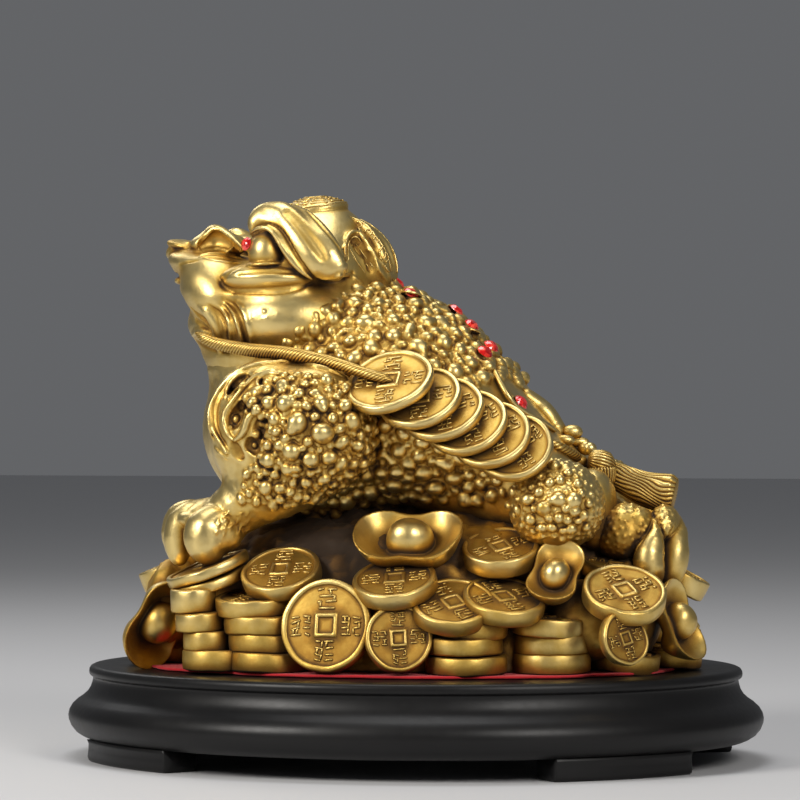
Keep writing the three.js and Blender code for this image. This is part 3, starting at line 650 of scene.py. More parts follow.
def carve_arm():
    f = Field((-112, -92, 76), (2, -24, 180), FINE * 0.93)
    f.put(lump((-29.5, -60, 140.5), (26.5, 26, 27)))
    f.put(lump((-49, -55.5, 140.5), (25.5, 23.5, 30), 0), 6)
    f.put(bar([(-40, -60, 122), (-55, -61, 112), (-67, -60, 104)], [17, 12.4, 10.4], 3), 6)
    # wrist and three toes that grip the coin
    f.put(lump(spot(205, 519, -56), (12, 15, 5.6), 8), 4)
    for pts, rad in (
        ([(236, 519, -61), (217, 522, -66), (206.5, 530, -69), (205.5, 540, -70), (209, 549, -70)], [7, 8.8, 9.4, 8.6, 6.2]),
        ([(206, 515, -57), (192, 514, -58), (183, 521, -59.5), (179, 534, -60), (178.5, 547, -60), (179.5, 555, -60)], [5, 6.2, 6.8, 6.4, 5.4, 3.6]),
        ([(204, 513, -46), (191, 511, -46), (181, 517, -46), (176, 530, -46), (175, 545, -46)], [5, 6.0, 6.6, 6.2, 4.6]),
    ):
        f.put(bar([spot(*q) for q in pts], rad, 4), 0.7)
    f.put(lump(spot(199, 512, -62), (4.6, 5.5, 3.6), 10), 1.0)
    f.put(lump(spot(222, 534, -65), (8.5, 8, 7.5)), 2.5)
    f.put(lump(spot(217, 509, -53), (10, 11, 5.8), 8), 3)
    # smooth strip of the shoulder's top, its rim, and the scrolls on its front
    rim = [(228, 450), (221, 439), (214.8, 428), (212.6, 416), (213.4, 404), (217.5, 393), (224.5, 383), (234, 374), (246, 367.2), (261, 363), (280, 361), (298, 362), (314, 365), (330, 369.4), (345, 376)]
    band = [(233, 437), (228, 430), (225, 420.5), (226, 411), (231, 402.5), (237.5, 394), (244, 386.5), (251, 379), (260, 373), (271, 369.8), (284, 371)]
    hook = [(236, 437.5), (242, 433), (246, 426), (248.5, 418.5), (253, 412.6), (260.5, 410.8), (268.5, 412)]
    f.put(lump(spot(232, 406, -61), (8.8, 9, 16), 16, 13.5), 3)
    lay(f, rim, [0.8, 1.1, 1.3, 1.35, 1.35, 1.3, 1.25, 1.2, 1.2, 1.1, 1.1, 1.0, 1.0, 0.9, 0.6], 0.55, 0.45)
    lay(f, [(213.5, 437), (210.2, 427), (209.3, 415), (210.5, 404), (214.5, 394)], [0.5, 0.8, 0.9, 0.8, 0.5], 0.2, 0.5)
    lay(f, [(226, 442), (219, 431), (216.4, 419), (217, 407), (220.5, 396.5), (227, 386.5), (236, 377.6)], [0.4, 0.7, 0.8, 0.8, 0.8, 0.7, 0.4], 0.35, 0.5, how="cut")
    dig(f, 238, 382, 7.5, 13.5, 4.2, 50, 0.5)
    dig(f, 231, 389, 3.8, 8, 3.6, 22, 0.5)
    dig(f, 235.5, 415, 7.5, 13, 4.6, 22, 0.5)
    dig(f, 243, 405, 6, 9, 3.8, 40, 0.5)
    dig(f, 261, 428, 9.5, 15, 4.2, 10, 0.7)
    dig(f, 252, 444, 9, 9, 3.4, 0, 0.7)
    dig(f, 236, 449, 11, 8, 1.8, 25, 1.2)
    dig(f, 263, 380.5, 3.4, 4.4, 3.4, 0, 0.3)
    lay(f, band, [0.7, 1.1, 1.2, 1.2, 1.2, 1.2, 1.2, 1.2, 1.1, 1.0, 0.6], 0.5, 0.4)
    lay(f, [(229, 397), (235, 391), (241.5, 384.4), (248, 376.6), (255, 370.6)], [0.5, 0.9, 1.0, 0.9, 0.5], 0.3, 0.5)
    lay(f, [(225.4, 396), (226.6, 387.5), (231.5, 379.8), (239, 373.4), (248, 369.4)], [0.4, 0.8, 0.9, 0.8, 0.4], 0.3, 0.5)
    lay(f, hook, [0.8, 1.5, 1.7, 1.7, 1.6, 1.4, 0.7], 0.6, 0.5)
    lay(f, [(257, 379), (264.5, 373.2), (273, 371.6), (281, 373.6), (286, 377)], [0.5, 0.9, 1.0, 0.9, 0.6], 0.4, 0.4)
    lay(f, [(257.5, 378), (257.2, 383), (261, 386.6), (266.5, 385.6)], [0.7, 0.8, 0.8, 0.5], 0.3, 0.4)
    lay(f, [(216, 446), (220.5, 451), (228, 455.6)], [0.5, 0.9, 0.4], 0.3, 0.5)
    lay(f, [(248, 450), (252.5, 453.6), (258, 456)], [0.5, 0.9, 0.4], 0.3, 0.5)
    for u, v, r in ((237, 418, 4.6), (247, 410, 3.0), (243, 405.4, 2.6), (234.6, 385, 2.6), (240.5, 380, 2.2), (230.5, 426, 2.6), (262, 421, 3.8), (257, 432.5, 4.2), (255.5, 443, 3.4), (268, 431, 3.0), (263.5, 439, 2.6), (254.5, 400.5, 4.4), (251, 392, 3.2), (259, 409, 3.0), (273, 428, 2.6), (262.5, 453, 2.8), (256, 465, 3.6), (262, 472, 3.4)):
        p, n = f.sight(seen([(u, v)]))
        f.put(lump(p[0] + n[0] * 0.15 * r * 0.43, (r * 0.43, r * 0.43, r * 0.46)), 0.35, margin=1.5)
    # warts: the placed ones, then smaller ones between them
    taken, placed = {}, []
    cell = 2.2 * 2.9
    for u, v, r in SHOULDER_WARTS:
        p, n = f.sight(seen([(u, v)]))
        r *= 0.429 * 1.27
        placed.append((p[0] + n[0] * 0.2 * r, n[0], r))
        taken.setdefault(tuple((p[0] // cell).astype(int)), []).append((*p[0], r))

    def skin(p, n):
        x, z = p[:, 0], p[:, 2]
        seen_x = x * RIGHT[0] + p[:, 1] * RIGHT[1]
        u, v = seen_x / 0.429 + 414, 398 - (z - 153) / 0.429
        front = u - np.interp(v, [360, 372, 384, 400, 412, 440, 455, 470, 490, 505], [300, 262, 256, 250, 266, 272, 262, 252, 244, 250])
        top = v - np.interp(u, [250, 290, 320, 345, 370], [392, 372, 374, 381, 388])
        under = z - np.interp(x, [-60, -40, -20, 0], [112, 108, 113, 120])
        return (front > 0) & (top > 0) & (under > 0) & (p[:, 1] < -34)

    small = spots(f, skin, [(2.3, 2.9, 900), (1.7, 2.2, 4000), (1.1, 1.5, 9000)], 21, taken, 0.8)
    put_spots(f, placed, 0.16, 0.45, 8)
    put_spots(f, small, 0.14, 0.4, 9)
    warty = np.clip((f.ax[0][:, None, None] + 72) / 8, 0, 1).astype(F32) + 0 * f.ax[2][None, None, :]
    uneven(f, 0.09, 2.0, 5, warty)
    uneven(f, 0.13, 4.5, 6)
    # folds and scale marks on the back of the hand
    rng = np.random.default_rng(31)
    for k in range(34):
        u, v = 216 + 34 * rng.uniform(), 511 + 20 * rng.uniform()
        a = math.radians(rng.uniform(20, 70))
        L = rng.uniform(1.6, 3.4)
        lay(f, [(u - L * math.cos(a), v + L * math.sin(a)), (u + L * math.cos(a), v - L * math.sin(a))], [0.45, 0.5], 0.1, 0.3, 1)
    return f


def carve_foot():
    f = Field((56, -47, 70), (130, 46, 124), FINE * 0.76)
    f.put(lump((82, 0, 98), (23, 33, 13), 8))
    f.put(lump((70, 0, 103), (20, 30, 17), 20), 8)
    for side in (1, -1):
        m, back = np.array([1, side, 1]), np.array([4.5 * (side - 1), 0, 0])
        for c, r in ((spot(625, 531, -25), (12.2, 13, 12.4)), (spot(640, 528, -27), (6.5, 9, 9.5)), (spot(665, 524, -18), (6.8, 11, 9))):
            f.put(lump(c * m + back, r), 0.6)
        for pts, rad in (
            ([(653, 519, -28), (655, 530, -31), (653, 541, -33.5), (649.5, 552, -34.5), (649, 562, -34.5), (653, 573, -32)], [1.4, 2.6, 4.6, 6.3, 6.6, 4.6]),
            ([(678, 516, -14), (678.5, 529, -18), (676, 541, -21.5), (674.5, 551, -23), (672.5, 562, -23.5), (669.5, 572, -23.5), (667, 582, -23)], [1.4, 3.6, 5.4, 6.2, 6.4, 6.0, 4.2]),
        ):
            f.put(bar(np.array([spot(*p) for p in pts]) * m + back, rad, 3), 0.12)
    for line in ([(652, 519), (648.4, 528), (642, 540), (635, 553)], [(676, 519), (670, 530), (664.4, 541)], [(654.6, 520), (660, 530), (663.4, 541), (663.6, 556)]):
        lay(f, line, [0.3, 0.65, 0.65, 0.4][: len(line)], 0.25, 0.25, how="cut")

    def scaly(p, n):
        u, v = to_view(p)
        edge = np.interp(v, [500, 519, 528, 540, 553], [650, 650, 646, 639, 632])
        return ((u < edge) & (v < 553) | (u > 655) & (v < 537) & (u < 675) & (abs(u - 664.5) * 1.6 < 538 - v)) | (p[:, 1] > 4) & (p[:, 2] > 96)

    skin = spots(f, scaly, [(1.0, 1.25, 900), (0.8, 1.0, 6000)], 41, None, 1.12)
    put_spots(f, skin, 0.25, 0.22, 42)
    uneven(f, 0.14, 4.0, 43)
    return f


def build_relief(f):
    """Crisp lines on the head: bars on the crown, curls of the collar, rims of the arch."""
    M = Shell()

    def wire(points, r, lift=0.0):
        p = f.sight(seen(smooth_line(points, 3)), lift)[0]
        for side in (1, -1):
            sweep(M, p * (1, side, 1), lambda t, a: r * np.clip(np.minimum(t, 1 - t) / 0.08, 0.2, 1) ** 0.5 + 0 * a, 2 * len(p), 8)

    tilt = math.radians(7)
    nz, nx = np.array([math.sin(tilt), 0, math.cos(tilt)]), np.array([math.cos(tilt), 0, -math.sin(tilt)])

    def dome(a, rad):
        p = np.array([-43.6, 0, 238.6]) + nx * rad * math.cos(a) + np.array([0, rad * math.sin(a), 0])
        q = np.array([(p[0] + 42) / 26.3, p[1] / 22.4])
        p[2] = 213.8 + 27.2 * math.sqrt(max(1 - q @ q, 0.05))
        n = np.array([(p[0] + 42) / 26.3**2, p[1] / 22.4**2, (p[2] - 213.8) / 27.2**2])
        return p, n / np.linalg.norm(n)

    for rad, r in ((13.3, 0.5), (5.0, 0.4)):
        sweep(M, [dome(a, rad)[0] for a in np.linspace(0, 2 * math.pi, 41)], lambda t, a: r + 0 * a, 64, 8)
    for k in range(8):
        a = (k + 0.5) * math.pi / 4
        for row in range(3):
            p, n = dome(a, 7.1 + 2.1 * row)
            u = np.array([-math.sin(a), math.cos(a), 0.0])
            u -= n * (u @ n)
            u /= np.linalg.norm(u)
            half = 2.3 + 0.72 * row
            for s0, s1 in ([(-half, half)] if (k * 5 + row * 3) % 4 < 2 else [(-half, -0.35), (0.35, half)]):
                ridge(M, p - n * 0.15, u, np.cross(n, u), n, (s0, 0), (s1, 0), 1.2, 0.5)
    # collar: rim along its edge, cloud curls and a leaf
    for points, r in (
        ([(352, 215.5), (360, 219.5), (366, 223.2), (371, 228.4), (375.5, 234), (380, 240.4), (384.5, 247.4), (387.6, 254), (389.5, 262), (391, 270)], 0.55),
        ([(356.5, 219.8), (360.5, 221), (361.6, 224), (359.4, 225.2)], 0.5), ([(365, 231), (366.6, 227.8), (370.6, 228.2), (371.8, 231.4), (369, 233)], 0.5),
        ([(373, 238), (375.4, 235), (378.4, 237.4), (377.4, 241)], 0.45), ([(383.6, 244.5), (380.4, 247.5), (379.4, 252.5), (381.4, 258.6)], 0.5),
        ([(383.8, 245), (385.6, 250), (384.6, 255.6), (382.4, 259.6)], 0.45), ([(386.2, 252.6), (388.4, 255.4), (387.6, 259), (385, 259.6)], 0.45),
        ([(384, 263), (386.4, 266.4), (389, 270)], 0.5),
        # grooves' edges inside the arch
        ([(352, 243), (357, 250), (363, 258), (369, 266)], 0.32), ([(355, 241), (361, 249), (367, 257), (374, 266)], 0.32), ([(350, 247), (354, 255), (360, 264), (366, 272)], 0.32),
        ([(348.6, 259), (348, 247), (349.4, 239.6), (353, 235), (357.6, 235.6), (362, 241)], 0.4),
    ):
        wire(points, r, 0.05)
    return M.build("head_relief")


def build_head():
    f = carve_head()
    relief = build_relief(f)
    f = f.mirrored()
    # its lower end lies just under the chest
    f.d = f.d + F32(0.6) * np.clip((F32(171) - f.ax[2][None, None, :]) / F32(5), 0, 1)
    f.put(half_space((-30, 0, 176), (0.62, 0, -0.78)), 0.0, "keep")
    return [polygonise(f, "toad_head", 132000), relief]


def build_torso():
    f = carve_torso().mirrored()

    def behind(p, n):
        q = p * (1, -1, 1)
        return (p[:, 1] > 0) & torso_skin(q, False) & ~torso_skin(q) & (n @ np.array((0.2334, -0.9724, 0)) < -0.5)

    put_spots(f, spots(f, behind, [(2.6, 3.2, 900), (1.9, 2.4, 3000), (1.3, 1.8, 6000)], 17, {}, 0.84), 0.24, 0.4)
    # a collar round each stone
    for s in STONES:
        n = f.normal(s[None])[0]
        q = s - n * f.at(s[None])[0]
        f.put(ring(q + n * 0.3, n, 3.9, 0.75), 0.4)
    # painted shade on the lower body, strongest low at the rear by the hind foot, with random patches of tone
    return add_shade_and_patina(polygonise(f, "toad_torso", 168000), lambda p: 0.24 * np.clip((p[:, 0] - 66) / 14, 0, 1) * np.clip((122 - p[:, 2]) / 12, 0, 1) + 0.16 * np.clip((118 - p[:, 2]) / 14, 0, 1) + 0.07 * noise3(p, 79, 9.0))


def build_arms():
    f = carve_arm()
    g = Field.__new__(Field)
    g.h, g.d = f.h, f.d[:, ::-1, :]
    g.lo = np.array([f.lo[0], -(f.lo[1] + f.h * (f.d.shape[1] - 1)), f.lo[2]])
    # painted shade low under the arm, away from the paw
    under = lambda p: 0.45 * np.clip((112 - p[:, 2]) / 8, 0, 1) * np.clip((p[:, 0] + 66) / 12, 0, 1)
    return [add_shade_and_patina(polygonise(f, "toad_arm_left", 108000), under), add_shade_and_patina(polygonise(g, "toad_arm_right", 52000), under)]


def add_shade_and_patina(ob, shade_and_patina):
    """Adds a darkening, given for points in millimetres, to how deep in a hollow each point counts as: painted shade on
    low and overhung parts, and a browner tone on the foot's scales.
    """
    n = len(ob.data.vertices)
    co, h = np.empty(n * 3, F32), np.empty(n, F32)
    att = ob.data.attributes["hollow"].data
    ob.data.vertices.foreach_get("co", co)
    att.foreach_get("value", h)
    att.foreach_set("value", np.clip(h + shade_and_patina(co.reshape(-1, 3).astype(float) * 1000), 0, 1).astype(F32))
    return ob


def build_foot():
    def brown(p):
        u, v = to_view(p)
        scales = np.clip((np.interp(v, [500, 519, 528, 540, 553], [652, 652, 648, 641, 634]) - u) / 4, 0, 1)
        return 0.12 + 0.34 * scales * np.clip((v - 504) / 14, 0.3, 1) + 0.1 * noise3(p, 78, 6.0)

    return add_shade_and_patina(polygonise(carve_foot(), "toad_hind_foot", 70000), brown)


# ---------------------------------------------------------------- swept and turned shells
class Shell:
    """Gathers closed shells of points and faces, with how deep in a hollow each point is; in places this value also
    carries painted shade.
    """

    def __init__(self):
        self.p, self.q, self.t, self.d, self.n = [], [], [], [], 0

    def add(self, points, quads=(), tris=(), hollow=0.0):
        points = np.asarray(points, float)
        if len(quads):
            self.q.append(np.asarray(quads, np.int64) + self.n)
        if len(tris):
            self.t.append(np.asarray(tris, np.int64) + self.n)
        self.p.append(points)
        self.d.append(np.broadcast_to(np.asarray(hollow, float), (len(points),)).copy())
        self.n += len(points)

    def rings(self, rings, hollow=0.0, flip=False):
        """A closed shell through rings of points (ring, point, 3), whose first and last ring are drawn to their middle."""
        rings = np.asarray(rings, float)
        m, k = rings.shape[:2]
        pts = np.concatenate([rings.reshape(-1, 3), rings[0].mean(0)[None], rings[-1].mean(0)[None]])
        i, j = np.meshgrid(np.arange(m - 1), np.arange(k), indexing="ij")
        i, j = i.ravel(), j.ravel()
        jn = (j + 1) % k
        quads = np.stack([i * k + j, i * k + jn, (i + 1) * k + jn, (i + 1) * k + j], 1)
        j = np.arange(k)
        jn = (j + 1) % k
        first = np.stack([np.full(k, m * k), jn, j], 1)
        last = np.stack([np.full(k, m * k + 1), (m - 1) * k + j, (m - 1) * k + jn], 1)
        if flip:
            quads, first, last = quads[:, ::-1], first[:, ::-1], last[:, ::-1]
        h = np.asarray(hollow, float)
        if h.ndim == 1 and len(h) == m:
            h = np.concatenate([np.repeat(h, k), [h[0], h[-1]]])
        elif h.ndim == 2:
            h = np.concatenate([h.ravel(), [h[0].mean(), h[-1].mean()]])
        self.add(pts, quads, np.concatenate([first, last]), h)

    def build(self, name, wobble=(), shade_and_patina=None):
        """wobble: (amount, size) pairs of soft unevenness, in millimetres. An added darkening of the points, where
        given, adds to the hollows: painted shade, or random tone.
        """
        pts = np.concatenate(self.p)
        for k, (amount, size) in enumerate(wobble):
            pts = pts + amount * np.stack([noise3(pts, 90 + 3 * k + i, size) for i in range(3)], 1)
        faces = []
        if self.q:
            faces.append(np.concatenate(self.q))
        if self.t:
            faces.append(np.concatenate(self.t))
        ob = mesh_object(name, pts, faces)
        att = ob.data.attributes.new("hollow", "FLOAT", "POINT")
        d = np.concatenate(self.d)
        if shade_and_patina is not None:
            d = np.clip(d + shade_and_patina(pts), 0, 1)
        att.data.foreach_set("value", d.astype(F32))
        return ob


def low_shade_and_patches(p):
    """Painted shade that makes the heap browner towards its foot, with random patches of tone."""
    return 0.08 + 0.2 * np.clip((82 - p[:, 2]) / 40, 0, 1) + 0.1 * noise3(p, 77, 9.0)


def axes(n, spin=0.0):
    """Two directions across n; the first is level, turned by spin."""
    n = np.array(n, float) / np.linalg.norm(n)
    u = np.cross([0, 0, 1.0], n)
    if np.linalg.norm(u) < 0.05:
        u = np.array([1.0, 0, 0])
    u /= np.linalg.norm(u)
    w = np.cross(n, u)
    c, s = math.cos(spin), math.sin(spin)
    return u * c + w * s, w * c - u * s, n


def ridge(M, o, u, w, n, a, b, width, high, hollow=0.0):
    """A raised stroke from a to b, given in the plane (u, w) at o."""
    a, b = np.array(a, float), np.array(b, float)
    d = b - a
    L = np.linalg.norm(d)
    d /= L
    s = np.array([-d[1], d[0]])
    sec = [(-0.5, -0.45), (-0.32, 0.85), (0.32, 0.85), (0.5, -0.45)]
    rings = []
    for t, k in ((0.0, 0.55), (min(0.22, 0.3 * width / L), 1.0), (1 - min(0.22, 0.3 * width / L), 1.0), (1.0, 0.55)):
        c = a + d * L * t
        rings.append([o + u * (c[0] + s[0] * x * width * k) + w * (c[1] + s[1] * x * width * k) + n * (z * high * (k if z > 0 else 1)) for x, z in sec])
    M.rings(rings, hollow)


def strokes(M, o, u, w, n, at, size, rng, turn=0.0, high=0.5):
    """A small block of rubbed raised strokes that spell nothing."""
    c, s = math.cos(turn), math.sin(turn)

    def place(x, y):
        x, y = x * size, y * size
        return (at[0] + x * c - y * s, at[1] + x * s + y * c)

    wid = 0.2 * size
    lean = rng.uniform(-0.12, 0.12)
    for row in range(4):
        y = 0.78 - 0.5 * row + rng.uniform(-0.04, 0.04)
        cut = rng.uniform(-0.3, 0.3)
        kind = rng.integers(0, 4)
        spans = [(-0.85, cut - 0.16), (cut + 0.16, 0.85)] if kind else [(-0.7, 0.7)]
        for x0, x1 in spans:
            if x1 - x0 > 0.3:
                bow = rng.uniform(-0.14, 0.14)
                ridge(M, o, u, w, n, place(x0, y - lean * x0), place(x1, y + lean * x1 + bow), wid, high * rng.uniform(0.8, 1.1))
        if row < 3:
            for x in rng.choice([-0.62, -0.2, 0.24, 0.66], rng.integers(1, 3), replace=False):
                x = x + rng.uniform(-0.06, 0.06)
                ridge(M, o, u, w, n, place(x, y + 0.04), place(x + rng.uniform(-0.16, 0.16), y - 0.46), wid * 0.92, high * rng.uniform(0.75, 1.05))


def coin(M, c, n, r, t, spin=0.0, marks=1, seed=0, sides=48, sink=0.75, rim=0.13):
    """A cast coin with a raised rim, a raised square frame round a sunken middle, and four blocks of strokes."""
    c = np.array(c, float)
    u, w, n = axes(n, spin)
    rng = np.random.default_rng(1000 + seed)
    a = np.arange(sides) * 2 * math.pi / sides
    ca, sa = np.cos(a), np.sin(a)
    wob = 1 + (0.4 if r > 15 else 1.0) * (0.012 * np.cos(2 * a + rng.uniform(0, 6)) + 0.008 * np.cos(3 * a + rng.uniform(0, 6)) + 0.004 * np.cos(7 * a + rng.uniform(0, 6)))
    sq = 1 / np.maximum(np.abs(ca), np.abs(sa))
    h = t / 2
    ri = r * (1 - rim)
    prof = [(r - 1.1, -h, 0, 0.3), (r - 0.4, -h + 0.22, 0, 0.2), (r - 0.06, -h + 0.9, 0, 0.05), (r + 0.05, 0, 0, 0.0), (r - 0.06, h - 0.8, 0, 0.0), (r - 0.3, h - 0.3, 0, 0.0), (r - 0.75, h - 0.04, 0, 0.0)]
    if marks >= 0:
        prof += [(ri + 0.45, h, 0, 0.0), (ri + 0.1, h - 0.14, 0, 0.05), (ri - 0.15, h - sink + 0.12, 0, 0.55), (ri - 0.5, h - sink, 0, 0.55), (r * 0.78, h - sink * 0.95, 0, 0.3), (r * 0.6, h - sink * 0.93, 0, 0.3)]
        s1, s2 = 0.25 * r, 0.165 * r
        prof += [(s1 + 0.3, h - sink * 0.95, 1, 0.62), (s1, h - sink * 0.8, 1, 0.2), (s1 - 0.12, h - 0.14, 1, 0.0), (s2 + 0.12, h - 0.14, 1, 0.0), (s2, h - sink * 0.8, 1, 0.6), (s2 - 0.3, h - sink * 1.0, 1, 0.6), (s2 * 0.4, h - sink * 0.95, 1, 0.3)]
    else:
        prof += [(r * 0.6, h + 0.02, 0, 0.0), (r * 0.2, h + 0.02, 0, 0.0)]
    rings, hol = [], []
    for rr, z, square, hh in prof:
        k = rr * (sq if square else wob)
        rings.append(c + np.outer(k * ca, u) + np.outer(k * sa, w) + n * z)
        hol.append(hh)
    M.rings(rings, hol)
    if marks > 0:
        o = c + n * (h - sink * 0.95)
        for k in range(4):
            th = math.pi / 2 * k + math.pi / 2
            at = (0.56 * r * math.cos(th), 0.56 * r * math.sin(th))
            strokes(M, o, u, w, n, at, 0.25 * r, rng, 0.0, 0.8 * sink if r > 10 else 0.5)


def edge_stack(M, x, y, z0, count, t, r, lean, seed, top_marks=1, wander=1.2):
    """Coins piled on each other, each a little out of line, the top one leaning out."""
    rng = np.random.default_rng(300 + seed)
    out = math.atan2(y, x)
    z = z0
    for k in range(count):
        last = k == count - 1
        dx, dy = rng.uniform(-wander, wander, 2) * (0.4 if k == 0 else 1)
        tk = t * rng.uniform(0.9, 1.04)
        li = math.radians(lean if last else rng.uniform(0, 2.5))
        n = (math.sin(li) * math.cos(out), math.sin(li) * math.sin(out), math.cos(li))
        coin(M, (x + dx, y + dy, z + tk / 2), n, r * rng.uniform(0.95, 1.03), tk, rng.uniform(0, 6.28), 1 if last and top_marks else -1, seed * 17 + k, 40 if y < 0 else 32)
        z += t


def frames(line):
    """Directions along and across a line, carried along it without twist."""
    d = np.gradient(line, axis=0)
    d /= np.linalg.norm(d, axis=1, keepdims=True)
    u = np.zeros_like(d)
    s = np.cross([0, 0, 1.0], d[0])
    if np.linalg.norm(s) < 0.1:
        s = np.cross([1.0, 0, 0], d[0])
    u[0] = s / np.linalg.norm(s)
    for i in range(1, len(d)):
        v = u[i - 1] - d[i] * (u[i - 1] @ d[i])
        u[i] = v / np.linalg.norm(v)
    return d, u, np.cross(d, u)


def sweep(M, points, radius, rings, sides, hollow=None, flat=1.0):
    """A tube along a smooth line. radius(t, angle) and hollow(t, angle) take t from 0 to 1 along it."""
    line = smooth_line(points, 16)
    L = np.concatenate([[0], np.cumsum(np.linalg.norm(np.diff(line, axis=0), axis=1))])
    t = np.linspace(0, 1, rings)
    line = np.stack([np.interp(t * L[-1], L, line[:, i]) for i in range(3)], 1)
    d, u, w = frames(line)
    a = np.arange(sides) * 2 * math.pi / sides
    T, Aa = np.meshgrid(t, a, indexing="ij")
    R = radius(T, Aa)
    pts = line[:, None, :] + (R * np.cos(Aa))[..., None] * u[:, None, :] + (R * np.sin(Aa) * flat)[..., None] * w[:, None, :]
    M.rings(pts, 0.0 if hollow is None else hollow(T, Aa))
    return line, L[-1]


# ---------------------------------------------------------------- the heap
HEAP_A, HEAP_B, CAST_Z = 109.0, 77.0, 41.3
STACKS = [
    (198, 2, 6), (291, 3, 10), (311, 3, 6), (333, 1, 8), (356, 1, 4),
    (21, 2, 6), (46, 2, 8), (70, 1, 4), (94, 2, 8), (118, 1, 4), (141, 3, 6), (164, 2, 8), (181, 1, 4),
]
LAID = [
    (-15.8, -87, 60.5, -0.03, -0.97, 0.2, 19.2, 6, 0.0),
    (14.5, -88, 56, 0.3, -0.93, 0.2, 14, 6, 0.05),
    (104.3, -73.5, 56.2, 0.72, -0.66, 0.16, 11.2, 5, 0.25),
    (-39.3, -72, 81, -0.05, -0.5, 0.86, 16.8, 6.5, 0.1),
    (10.2, -77, 77.6, 0, -0.43, 0.9, 17.4, 7, 0.2),
    (35, -79, 68.5, 0.1, -0.5, 0.86, 16.8, 7, 0.5),
    (54.6, -72, 70.5, 0.16, -0.38, 0.91, 17, 7, 0.3),
    (102.6, -62, 73.4, 0.24, -0.52, 0.82, 17.2, 7, 0.35),
    (*spot(501, 551, -56), 0.02, -0.44, 0.9, 15.8, 8, 0.6),
    (*spot(619, 566, -31), 0.1, -0.14, 0.98, 16.0, 6.5, 0.9),
    (*spot(170, 571, -24), -0.36, -0.1, 0.93, 13, 9, 0.7),
    (*spot(679, 577, -8), 0.46, 0.05, 0.88, 13, 8.5, 0.4),
    (-98, -18, 72, -0.6, -0.2, 0.77, 17, 6, 0.2),
    (-74, 62, 83, -0.1, 0.25, 0.96, 17.5, 5.5, 0.4),
    (-34, 70, 76, 0, 0.52, 0.85, 17, 7, 1.0),
    (4, 72, 72, 0.05, 0.55, 0.83, 17, 8, 0.3),
    (44, 68, 76, 0.1, 0.48, 0.87, 17, 7, 0.8),
    (108, 18, 66, 0.7, 0.12, 0.7, 16.5, 6, 0.1),
    (20, 90, 57, 0.1, 0.95, 0.28, 17, 6, 0.0),
]
INGOTS = [
    # middle, the way its top faces, the way its long side points, scale
    (spot(410, 541, -63), (0.02, -0.64, 0.77), (1, 0.05, 0.0), 1.0),
    (spot(555.5, 574, -63), (0.10, -0.74, 0.66), (0.16, 0.66, 0.74), 0.70),
    (spot(676, 621, -33), (0.9, -0.32, 0.3), (-0.34, -0.08, 0.94), 0.77),
    (spot(157, 618.5, -50), (0.66, -0.62, -0.30), (0.554, 0.133, 0.82), 0.90),
    ((-112, 6, 52), (-0.9, 0.1, 0.42), (0.1, 1, 0.1), 0.85),
]


def noise3(p, seed, scale):
    """Smooth noise from a few turned sine waves, about -1 to 1."""
    rng = np.random.default_rng(seed)
    out = 0
    for _ in range(7):
        k = rng.normal(size=3)
        k /= np.linalg.norm(k)
        out = out + np.sin(p @ k / scale * rng.uniform(0.7, 1.6) + rng.uniform(0, 6.28))
    return out / 4.2


def build_mound():
    M = Shell()
    prof = [(105, 41.3), (105, 44), (103, 56), (102, 68), (98, 80), (91, 91), (80, 99), (62, 104.5), (40, 109), (15, 111), (2, 111.5)]
    line = smooth_line([(x, 0, z) for x, z in prof], 5)
    k = 210
    a = np.arange(k) * 2 * math.pi / k
    rings, hol = [], []
    rows = len(line)
    for i, (x, _, z) in enumerate(line):
        p = np.stack([x * np.cos(a), 0.72 * x * np.sin(a), np.full(k, z)], 1)
        amp = 0.0 if z < 42.5 else min(1.0, (z - 42.5) / 8) * (0.55 if z > 92 else 1.0)
        n1 = 0.8 * noise3(p, 3, 3.4) + 0.8 * noise3(p, 4, 1.7) + 0.7 * noise3(p, 5, 0.9)
        ridged = 1 - np.abs(noise3(p, 8, 4.2)) * 1.6
        out = p / np.linalg.norm(p * (1, 1, 0.35), axis=1, keepdims=True)
        p = p + out * (amp * (1.5 * n1 + 1.5 * ridged - 1.9))[:, None]
        p[:, 2] = np.maximum(p[:, 2], 41.3)
        rings.append(p)
        # the ground is dark brown with random patches, and its top under the toad's body gets painted shade
        hol.append(np.clip(0.46 + np.clip((z - 64) / 14, 0, 1) * (0.2 + 0.75 * np.clip(1.4 - np.abs(p[:, 0] + 26) / 34, 0, 1)) - 0.2 * n1, 0, 1.4))
    rings, hol = np.array(rings), np.array(hol)
    M.rings(rings, hol)
    # rough lumps under the coins at both ends of the heap
    for c, r in (((99, -26, 66), (13, 24, 22)), ((90, -22, 78), (14, 18, 10)), ((-97, -30, 66), (12, 22, 20)), ((97, 24, 64), (12, 18, 18)), ((85, -50, 62), (17, 15, 17))):
        t, k = np.linspace(0.04, math.pi - 0.04, 24), np.arange(40) * 2 * math.pi / 40
        T, K = np.meshgrid(t, k, indexing="ij")
        p = np.stack([np.sin(T) * np.cos(K), np.sin(T) * np.sin(K), -np.cos(T)], 2) * r + c
        n1 = 0.8 * noise3(p, 3, 3.4) + 0.8 * noise3(p, 4, 1.7) + 0.7 * noise3(p, 5, 0.9)
        M.rings(p + (p - c) / 20 * n1[..., None] * 0.9, np.clip(0.6 - 0.2 * n1, 0, 1))
    return M.build("heap_ground")


